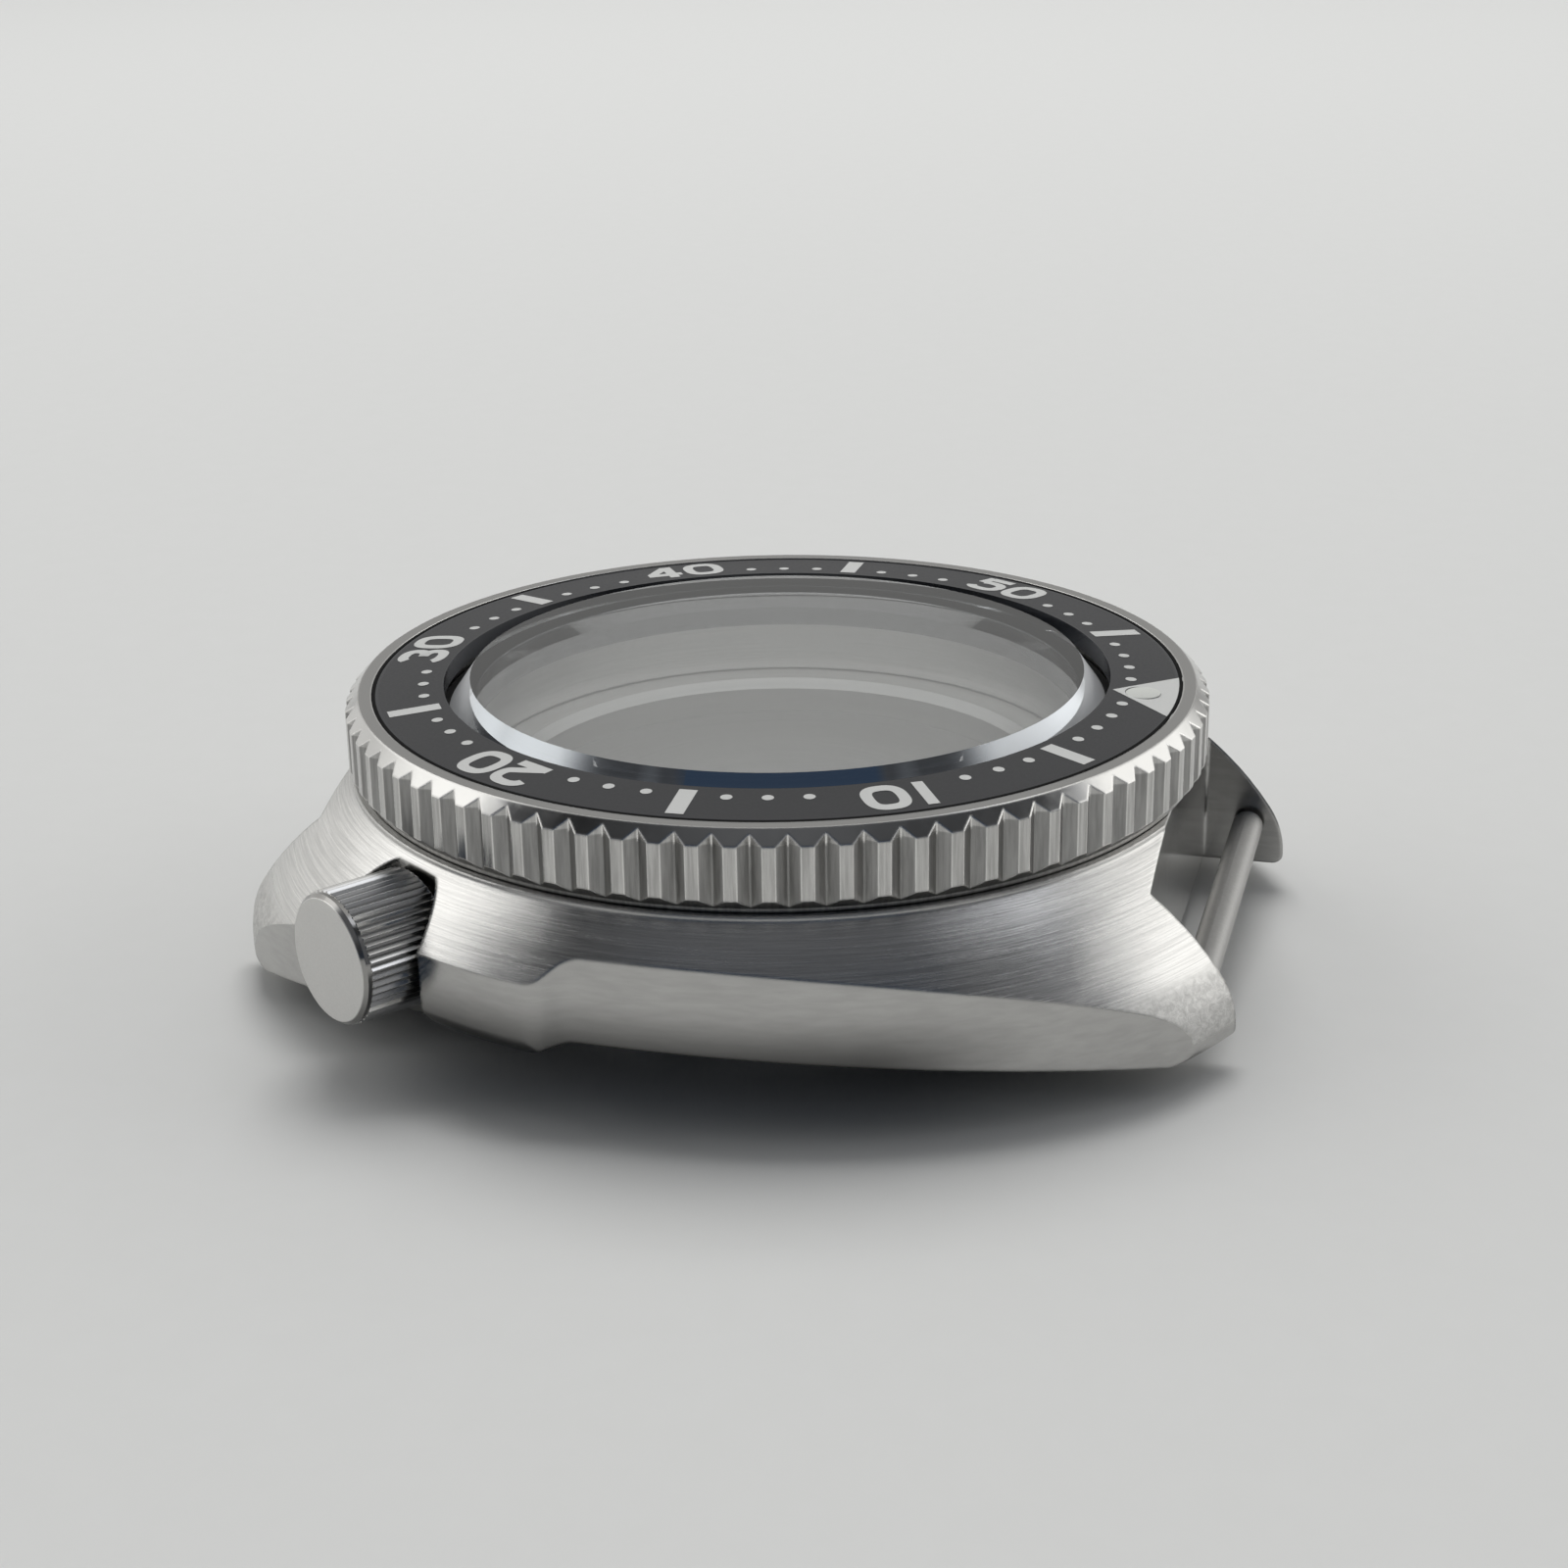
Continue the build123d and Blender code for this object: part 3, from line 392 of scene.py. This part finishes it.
def grainy(name, lo, hi, roughness, scale, detail=4.0, strength=0.1, depth=0.03, metallic=0.0):
    """One finish all over: two colours mixed by a fine grain that also lifts the surface.
    The roughness is one number, or a pair that follows the grain."""
    m = Mat(name)
    grain = m.noise(m.xyz(), scale, detail, 0.7)
    if isinstance(roughness, tuple):
        roughness = m.remap(grain, *MID, *roughness)
    bump = m.bump(grain, strength, depth * MM)
    return m.out(m.principled(Base_Color=m.mix(grain, lo, hi), Metallic=metallic,
                              Roughness=roughness, Normal=bump))


def matt_black():
    """A painted shadow: the matt black line round the insert stands in for the dark gap at its
    edge.
    """
    m = Mat("insert_gap_painted_shadow")
    col = m.mix(m.noise(m.xyz(), 6.0, 4.0, 0.7), grey(0.004), grey(0.008))
    return m.out(m.principled(Base_Color=col, Roughness=0.6, Specular_IOR_Level=0.05))


def glass():
    """Clear polished glass, whose steep bevel throws most of the light back. Towards 12 and 6
    o'clock the bevel is painted a pale milky white, a painted light for the light coming through
    the glass there."""
    m = Mat("crystal_clear")
    p = m.xyz()
    nz = m.normal()[2]
    bevel = m.zone((nz, 0.3, 0.4), (nz, 0.85, 0.75))
    smear = m.noise(p, 0.8, 4.0, 0.6)
    clear = m.principled(Base_Color=(0.97, 0.985, 0.99, 1),
                         Roughness=m.remap(smear, 0.55, 0.8, 0.0, 0.012),
                         IOR=1.77, Transmission_Weight=1.0)
    mirror = m.principled(Base_Color=(0.90, 0.95, 1.0, 1), Roughness=0.03, Metallic=1.0)
    # Painted light: a pale diffuse white on the bevel's ends stands in for light that comes
    # through the glass
    painted_bevel_light = m.principled(Base_Color=(0.88, 0.89, 0.90, 1), Roughness=0.5)
    facing = m.add("ShaderNodeLayerWeight").outputs["Facing"]
    share = m.math("MAXIMUM", m.remap(facing, 0.18, 0.50, 0.14, 0.85),
                   m.remap(facing, 0.07, 0.13, 0.75, 0.0))
    ends = m.band(m.math("ABSOLUTE", p[1]), 10.5, 13.5)
    polished = m.mix_shader(m.times(bevel, share), clear, mirror)
    return m.out(m.mix_shader(m.times(bevel, ends, 0.6), polished, painted_bevel_light))


def back_steel():
    """Turned with fine rings inside, satin outside."""
    m = Mat("back_steel_turned")
    p = _, _, z = m.xyz()
    a, r = polar(m, p)
    rings = m.noise((a, r, z), 1.0, 3.0, 0.55, stretch=(0.6, 5.0, 1))
    fine = m.noise(p, 6.0, 4.0, 0.7)
    floor_in = m.zone((z, 2.9, 2.95), (z, 3.1, 3.05))
    col = m.mix(rings, steel(0.52), steel(0.66))
    col = m.mix(floor_in, col, m.mix(rings, steel(0.50), steel(0.60)))
    rough = m.mixf(floor_in, 0.3, m.remap(fine, *MID, 0.36, 0.44))
    bump = m.bump(rings, 0.12, 0.04 * MM, m.round_edge(0.08 * MM))
    return m.out(m.principled(Base_Color=col, Metallic=1.0, Roughness=rough, Normal=bump))


M_CASE = case_steel()
M_BEZEL = bezel_steel()
M_CROWN = crown_steel()
M_INSERT = insert_dark()
M_PRINT = grainy("insert_print", (0.52, 0.525, 0.51, 1), (0.60, 0.60, 0.585, 1),
                 0.55, 10.0, strength=0.06, depth=0.02)
M_LUME = grainy("pip_lume", (0.55, 0.56, 0.53, 1), (0.63, 0.64, 0.60, 1),
                0.4, 10.0, strength=0.06, depth=0.02)
M_GAP_SHADOW = matt_black()
M_GLASS = glass()
M_BACK = back_steel()
M_BAR = grainy("bar_steel_rough", steel(0.30), steel(0.52), (0.40, 0.55), 5.0, 5.0, 0.5,
               metallic=1.0)
M_SPRING = grainy("spring_steel_bright", steel(0.45), steel(0.6), (0.25, 0.35), 6.0, 5.0, 0.2,
                  metallic=1.0)
M_NYLON = grainy("gasket_nylon_dark", grey(0.010), grey(0.018), 0.4, 5.0)
M_RUBBER = grainy("gasket_rubber_black", grey(0.012), grey(0.02), 0.55, 5.0)

node_mats = {
    "mid_case": M_CASE, "bezel_ring": M_BEZEL, "bezel_insert": M_INSERT, "bezel_pip": M_LUME,
    "crystal": M_GLASS, "crystal_gasket": M_NYLON, "bezel_gasket": M_RUBBER,
    "click_spring": M_SPRING, "caseback": M_BACK, "caseback_gasket": M_RUBBER,
    "crown_tube": M_CROWN, "tube_gaskets": M_RUBBER, "crown_head": M_CROWN,
    "crown_pipe": M_CROWN, "crown_gasket": M_RUBBER, "crown_post": M_CROWN,
    "crown_spring": M_SPRING,
}
for k in ("12", "6"):
    for part in ("tube", "pin_left", "pin_right"):
        node_mats["spring_bar_%s_%s" % (k, part)] = M_BAR
    node_mats["spring_bar_%s_spring" % k] = M_SPRING
for name, mat in node_mats.items():
    o = nodes[name]
    if not o.material_slots:
        o.data.materials.append(mat)
    for s in o.material_slots:
        s.link = "OBJECT"
        s.material = mat


def make(name, verts, faces, mat, body):
    """A new mesh from points in millimetres, riding on a body unless that is None."""
    me = bpy.data.meshes.new(name)
    me.from_pydata([tuple(c * MM for c in v) for v in verts], [], faces)
    me.update()
    me.validate()
    o = bpy.data.objects.new(name, me)
    scene.collection.objects.link(o)
    me.materials.append(mat)
    if body:
        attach(o, body)
    return o


# Scale printed on the insert
LIFT = 0.012
BAR_HALF, BAR_FROM, BAR_TO = 0.4, 16.1, 18.5
DOT_R, DOT_AT, DOT_SIDES = 0.26, 16.64, 24
DOT_PLACES = (2, 3, 4, 6, 7, 8)
PIP_AT, HOLE_R, HOLE_SIDES = 17.3, 0.82, 48
TRIANGLE = [(0.0, 15.9), (-2.95, 18.9), (2.95, 18.9)]
FULL = 2 * math.pi


def cone_z(r):
    """Height of the insert's face at a distance from the dial's axis."""
    fall = (INSERT_OUT_Z - INSERT_IN_Z) / (INSERT_OUT_R - INSERT_IN_R)
    return INSERT_IN_Z + (r - INSERT_IN_R) * fall


def on_insert(x, y, minute):
    """x to the right and y outwards, in mm from the dial axis, at a minute of the scale."""
    t = math.radians(SCALE_ZERO - 6 * minute)
    ux, uy = math.cos(t), math.sin(t)
    px, py = y * ux + x * uy, y * uy - x * ux
    return (px, py, cone_z(math.hypot(px, py)) + LIFT)


marks_v, marks_f = [], []


def add_poly(points, minute):
    base = len(marks_v)
    marks_v.extend(on_insert(x, y, minute) for x, y in points)
    marks_f.append(tuple(range(base, base + len(points)))[::-1])


def add_strip(pairs, closed, minute):
    """Quads between two rows of points, given in pairs."""
    base = len(marks_v)
    for pair in pairs:
        marks_v.extend(on_insert(x, y, minute) for x, y in pair)
    for i in range(len(pairs) - (0 if closed else 1)):
        j = (i + 1) % len(pairs)
        marks_f.append((base + 2 * i, base + 2 * i + 1, base + 2 * j + 1, base + 2 * j))


# Bars at 5, 15 and so on, dots between them, nothing where a numeral or the triangle is
for minute in range(60):
    if minute % 10 == 5:
        add_poly([(-BAR_HALF, BAR_FROM), (BAR_HALF, BAR_FROM), (BAR_HALF, BAR_TO),
                  (-BAR_HALF, BAR_TO)], minute)
    elif minute in (59, 1) or minute % 10 in DOT_PLACES:
        turns = [k * FULL / DOT_SIDES for k in range(DOT_SIDES)]
        add_poly([(DOT_R * math.cos(t), DOT_AT + DOT_R * math.sin(t)) for t in turns], minute)


# Triangle at 12 with a round hole for the pip
def to_edge(dx, dy):
    """Where a ray from the pip's centre leaves the triangle."""
    best = None
    for i in range(3):
        x1, y1 = TRIANGLE[i]
        x2, y2 = TRIANGLE[(i + 1) % 3]
        ex, ey = x2 - x1, y2 - y1
        den = dx * ey - dy * ex
        if abs(den) < 1e-9:
            continue
        s = (x1 * ey - (y1 - PIP_AT) * ex) / den
        u = (x1 * dy - (y1 - PIP_AT) * dx) / den
        if s > 0 and -1e-6 <= u <= 1 + 1e-6 and (best is None or s < best):
            best = s
    return (dx * best, PIP_AT + dy * best)


corners = sorted(math.atan2(cx, cy - PIP_AT) % FULL for cx, cy in TRIANGLE)
angles = sorted(set([FULL * k / HOLE_SIDES for k in range(HOLE_SIDES)] + corners))
add_strip([((HOLE_R * math.sin(t), PIP_AT + HOLE_R * math.cos(t)),
            to_edge(math.sin(t), math.cos(t))) for t in angles], True, 0)


# Numerals as strokes of even width
def arc(cx, cy, rx, ry, a0, a1, n=18, power=0.8):
    """Points on a squarish oval, from one angle in degrees to another."""
    pts = []
    for k in range(n + 1):
        t = math.radians(a0 + (a1 - a0) * k / n)
        c, s = math.cos(t), math.sin(t)
        pts.append((cx + rx * math.copysign(abs(c) ** power, c),
                    cy + ry * math.copysign(abs(s) ** power, s)))
    return pts


HALF_W, HALF_H = 0.38, 0.41
GLYPHS = {
    "0": [arc(0, 0, HALF_W, HALF_H, 0, 360, 40, 0.72)],
    "1": [[(0, 0.5), (0, -0.5)]],
    "2": [arc(0, 0.14, HALF_W, 0.27, 170, -38) + [(-HALF_W + 0.02, -0.41)],
          [(-HALF_W - 0.06, -0.41), (HALF_W + 0.06, -0.41)]],
    "3": [arc(-0.02, 0.205, HALF_W - 0.02, 0.205, 160, -90),
          arc(-0.02, -0.205, HALF_W, 0.205, 90, -160)],
    "4": [[(0.2, 0.5), (0.2, -0.5)], [(0.16, 0.45), (-0.36, -0.17)],
          [(-0.44, -0.2), (0.46, -0.2)]],
    "5": [[(HALF_W, 0.41), (-HALF_W + 0.08, 0.41)],
          [(-HALF_W + 0.08, 0.5), (-HALF_W + 0.06, 0.06)],
          arc(0.0, -0.14, HALF_W, 0.27, 130, -160, 20)],
}


def stroke(points, width):
    """Left and right edges of a line of even width, and whether it closes on itself."""
    clean = [points[0]]
    for q in points[1:]:
        if math.hypot(q[0] - clean[-1][0], q[1] - clean[-1][1]) > 1e-4:
            clean.append(q)
    closed = math.hypot(clean[0][0] - clean[-1][0], clean[0][1] - clean[-1][1]) < 1e-3
    if closed:
        clean = clean[:-1]
    n = len(clean)
    sides = []
    for i in range(n):
        p0 = clean[i - 1] if (i > 0 or closed) else clean[i]
        p1 = clean[i]
        p2 = clean[(i + 1) % n] if (i < n - 1 or closed) else clean[i]
        d1 = (p1[0] - p0[0], p1[1] - p0[1])
        d2 = (p2[0] - p1[0], p2[1] - p1[1])
        l1, l2 = math.hypot(*d1), math.hypot(*d2)
        if l1 < 1e-9:
            d1, l1 = d2, l2
        if l2 < 1e-9:
            d2, l2 = d1, l1
        n1 = (-d1[1] / l1, d1[0] / l1)
        n2 = (-d2[1] / l2, d2[0] / l2)
        mx, my = n1[0] + n2[0], n1[1] + n2[1]
        ml = math.hypot(mx, my) or 1.0
        mx, my = mx / ml, my / ml
        # The mitre grows with the bend, up to a limit at sharp corners
        reach = width / 2 * min(1.0 / max(mx * n1[0] + my * n1[1], 0.3), 2.2)
        sides.append(((p1[0] + mx * reach, p1[1] + my * reach),
                      (p1[0] - mx * reach, p1[1] - my * reach)))
    return sides, closed


NUM_H, NUM_W, NUM_R, STROKE = 2.3, 2.0, 17.3, 0.52
PLACES, PLACES_OF_10 = (-1.1, 1.1), (-1.3, 0.45)
for minute in range(10, 60, 10):
    for ch, off in zip(str(minute), PLACES_OF_10 if minute == 10 else PLACES):
        for line in GLYPHS[ch]:
            sides, closed = stroke([(x * NUM_W + off, y * NUM_H) for x, y in line], STROKE)
            add_strip([[(x, y + NUM_R) for x, y in pair] for pair in sides], closed, minute)
marks = make("insert_scale", marks_v, marks_f, M_PRINT, "bezel")

# The thin black line round the insert, a painted shadow for the gap at its edge
LINE_IN, LINE_OUT, LINE_SIDES = 18.88, 19.03, 160
line_v, line_f = [], []
for k in range(LINE_SIDES):
    t = FULL * k / LINE_SIDES
    for r in (LINE_IN, LINE_OUT):
        line_v.append((r * math.cos(t), r * math.sin(t), cone_z(r) + 2 * LIFT))
    j = (k + 1) % LINE_SIDES
    line_f.append((2 * k, 2 * k + 1, 2 * j + 1, 2 * j))
edge_line = make("insert_edge_line", line_v, line_f, M_GAP_SHADOW, "bezel")

# The luminous pip with a softly domed top
PIP_R, PIP_TOP, PIP_BOTTOM, DOME, DOME_STEPS = 0.8, 13.0, 12.55, 0.07, 6
profile = [(k / DOME_STEPS, PIP_TOP - DOME * (k / DOME_STEPS) ** 2)
           for k in range(1, DOME_STEPS + 1)] + [(1.0, PIP_BOTTOM)]


def pip_point(q, t, z):
    """At a share q of the pip's radius, at an angle t round it, at a height z."""
    x, y = PIP_R * q * math.sin(t), PIP_AT + PIP_R * q * math.cos(t)
    return on_insert(x, y, 0)[:2] + (z,)


dome_v, dome_f = [pip_point(0.0, 0.0, PIP_TOP)], []
for q, z in profile:
    dome_v.extend(pip_point(q, FULL * i / HOLE_SIDES, z) for i in range(HOLE_SIDES))
last = 1 + (len(profile) - 1) * HOLE_SIDES
dome_v.append(pip_point(0.0, 0.0, PIP_BOTTOM))
for i in range(HOLE_SIDES):
    j = (i + 1) % HOLE_SIDES
    dome_f.append((0, 1 + j, 1 + i))
    dome_f.append((len(dome_v) - 1, last + i, last + j))
    for k in range(len(profile) - 1):
        u, v = 1 + k * HOLE_SIDES, 1 + (k + 1) * HOLE_SIDES
        dome_f.append((u + i, u + j, v + j, v + i))
pip = make("pip_dome", dome_v, dome_f, M_LUME, "bezel")
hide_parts("bezel_pip")


# Coil springs in place of the plain sleeves, shortened between the bodies they press on
STEPS_PER_TURN, WIRE_SIDES = 16, 8


def fix_normals(o):
    bm = bmesh.new()
    bm.from_mesh(o.data)
    bmesh.ops.recalc_face_normals(bm, faces=bm.faces)
    bm.to_mesh(o.data)
    bm.free()


def coil(name, node, centre, axis, near_share, far_share, turns):
    """A wire coil filling part of a sleeve, from one share of its length to another."""
    centre, axis = Vector(centre), Vector(axis).normalized()
    sleeve = nodes[node]
    points = [sleeve.matrix_world @ v.co / MM - centre for v in sleeve.data.vertices]
    lengths = [q.dot(axis) for q in points]
    radii = [(q - axis * q.dot(axis)).length for q in points]
    low, high = min(lengths), max(lengths)
    wire = (max(radii) - min(radii)) / 2
    mid = (max(radii) + min(radii)) / 2
    start, end = low + (high - low) * near_share, low + (high - low) * far_share
    turn = 1 if end > start else -1
    u = axis.orthogonal().normalized()
    w = axis.cross(u)
    steps, n = STEPS_PER_TURN * turns, WIRE_SIDES
    v, f = [], []
    for k in range(steps + 1):
        t = FULL * k / STEPS_PER_TURN
        along_axis = start + turn * wire + (end - start - 2 * turn * wire) * k / steps
        radial = u * math.cos(t) + w * math.sin(t)
        for i in range(n):
            b = FULL * i / n
            v.append(tuple(centre + radial * (mid + wire * math.cos(b))
                           + axis * (along_axis + wire * math.sin(b))))
    for k in range(steps):
        for i in range(n):
            j = (i + 1) % n
            f.append((k * n + i, k * n + j, (k + 1) * n + j, (k + 1) * n + i))
    f.append(tuple(range(n))[::-1])
    f.append(tuple(range(steps * n, steps * n + n)))
    o = make(name, v, f, M_SPRING, None)
    fix_normals(o)
    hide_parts(node)
    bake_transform(o)


BAR_TURNS, CROWN_TURNS = 14, 8
for k, bar_y in (("12", SPRING_BAR_Y), ("6", -SPRING_BAR_Y)):
    for hand, share in (("left", 0.0), ("right", 1.0)):
        coil("bar_%s_coil_%s" % (k, hand), "spring_bar_%s_spring" % k,
             (0, bar_y, SPRING_BAR_Z), (1, 0, 0), 0.5, share, BAR_TURNS)
coil("crown_coil", "crown_spring", (0, 0, CROWN_Z),
     (math.cos(CROWN_ANGLE), math.sin(CROWN_ANGLE), 0), 1.0, 0.0, CROWN_TURNS)

# Floor
FLOOR, FLOOR_Z = 3000, -0.02
floor_m = Mat("floor_pale")
fx, fy, _ = floor_m.xyz()
floor_col = floor_m.mix(floor_m.noise((fx, fy, 0.0), 0.5, 5.0, 0.6),
                        (0.665, 0.665, 0.650, 1), (0.685, 0.685, 0.672, 1))
floor_mat = floor_m.out(floor_m.principled(Base_Color=floor_col, Roughness=0.8,
                                           Specular_IOR_Level=0.1))
floor = make("floor", [(-FLOOR, -FLOOR, FLOOR_Z), (FLOOR, -FLOOR, FLOOR_Z),
                       (FLOOR, FLOOR, FLOOR_Z), (-FLOOR, FLOOR, FLOOR_Z)],
             [(0, 1, 2, 3)], floor_mat, None)

# Studio: bright sides and back, and a dark room on the photographer's side. Directions are
# given by how far they point towards that side, across it to the right, and up.
toward = Vector((back.x, back.y, 0)).normalized()
aside = Vector((level_right.x, level_right.y, 0)).normalized()
BEHIND, TOP, BELOW = 0.46, 0.75, 0.42
PANEL_RIGHT, PANEL_LEFT = 1.6, (0.85, 1.7)
ROOM, ROOM_TOP, ROOM_LOW, ROOM_SIDE = 0.07, 0.16, 0.055, 0.20
GLOW, DARK_PATCH = 1.3, 0.03
PLAIN = (0.69, 0.69, 0.68, 1)

world = bpy.data.worlds.new("studio")
scene.world = world
world.use_nodes = True
w = Mat("studio", world=world)
wx, wy, wz = w.split(w.add("ShaderNodeTexCoord").outputs["Generated"])
along = w.math("ADD", w.times(wx, toward.x), w.times(wy, toward.y))
across = w.math("ADD", w.times(wx, aside.x), w.times(wy, aside.y))
wide = w.math("ABSOLUTE", across)

side = w.math("MAXIMUM",
              w.zone((wide, 0.54, 0.72), (along, 0.32, -0.04), (wz, 0.70, 0.60)),
              w.zone((across, -0.40, -0.54), (along, -0.02, -0.14), (wz, 0.90, 0.83)))
panel = w.mixf(w.band(across, -0.1, 0.1), w.remap(wz, 0.30, 0.50, *PANEL_LEFT), PANEL_RIGHT)
low = w.zone((wz, 0.84, 0.76), (wide, 0.52, 0.46))
room = w.mixf(w.band(wz, 0.88, 0.94), ROOM, ROOM_TOP)
room = w.mixf(low, room, ROOM_LOW)
room = w.mixf(w.zone((wz, 0.72, 0.66), (wide, 0.52, 0.60)), room, ROOM_SIDE)
front = w.times(w.band(along, -0.40, -0.20), w.math("SUBTRACT", 1.0, side))
patch = w.zone((along, -0.06, 0.02), (across, -0.66, -0.60), (across, -0.44, -0.52),
               (wz, 0.70, 0.74))
glow = w.zone((across, 0.24, 0.42), (across, 0.66, 0.58), (along, 0.02, -0.10),
              (wz, 0.66, 0.72))
level = w.mixf(w.band(wz, 0.50, 0.95), BEHIND, TOP)
level = w.mixf(side, level, panel)
level = w.mixf(front, level, room)
level = w.mixf(patch, level, DARK_PATCH)
level = w.mixf(glow, level, GLOW)
level = w.mixf(w.band(wz, -0.02, -0.08), level, BELOW)
sky = w.mix(front, (1.0, 1.0, 0.985, 1),
            w.mix(low, (0.95, 0.98, 1.04, 1), (0.62, 0.92, 1.45, 1)))


def background(colour, strength):
    n = w.add("ShaderNodeBackground")
    w.put(n.inputs[0], colour)
    w.put(n.inputs[1], strength)
    return n.outputs[0]


# The camera, and whatever is seen through the glass, gets a plain pale background
rays = w.add("ShaderNodeLightPath").outputs
shows_plain = w.math("MAXIMUM", rays["Is Camera Ray"], rays["Is Transmission Ray"])
w.put(w.add("ShaderNodeOutputWorld").inputs[0],
      w.mix_shader(shows_plain, background(sky, level), background(PLAIN, 1.0)))

# One large soft lamp above and behind, kept out of the reflections
LAMP_UP, LAMP_BEHIND, LAMP_AIM, LAMP_SIZE, LAMP_WATTS = 0.80, 0.45, 0.005, 0.55, 4.8
lamp_data = bpy.data.lights.new("top_soft", "AREA")
lamp_data.shape = "SQUARE"
lamp_data.size = LAMP_SIZE
lamp_data.energy = LAMP_WATTS
lamp = bpy.data.objects.new("top_soft", lamp_data)
lamp.location = Vector((0, 0, LAMP_UP)) - toward * LAMP_BEHIND
lamp_aim = Vector((0, 0, LAMP_AIM)) - lamp.location
lamp.rotation_euler = lamp_aim.to_track_quat("-Z", "Y").to_euler()
lamp.visible_glossy = False
lamp.visible_transmission = False
scene.collection.objects.link(lamp)
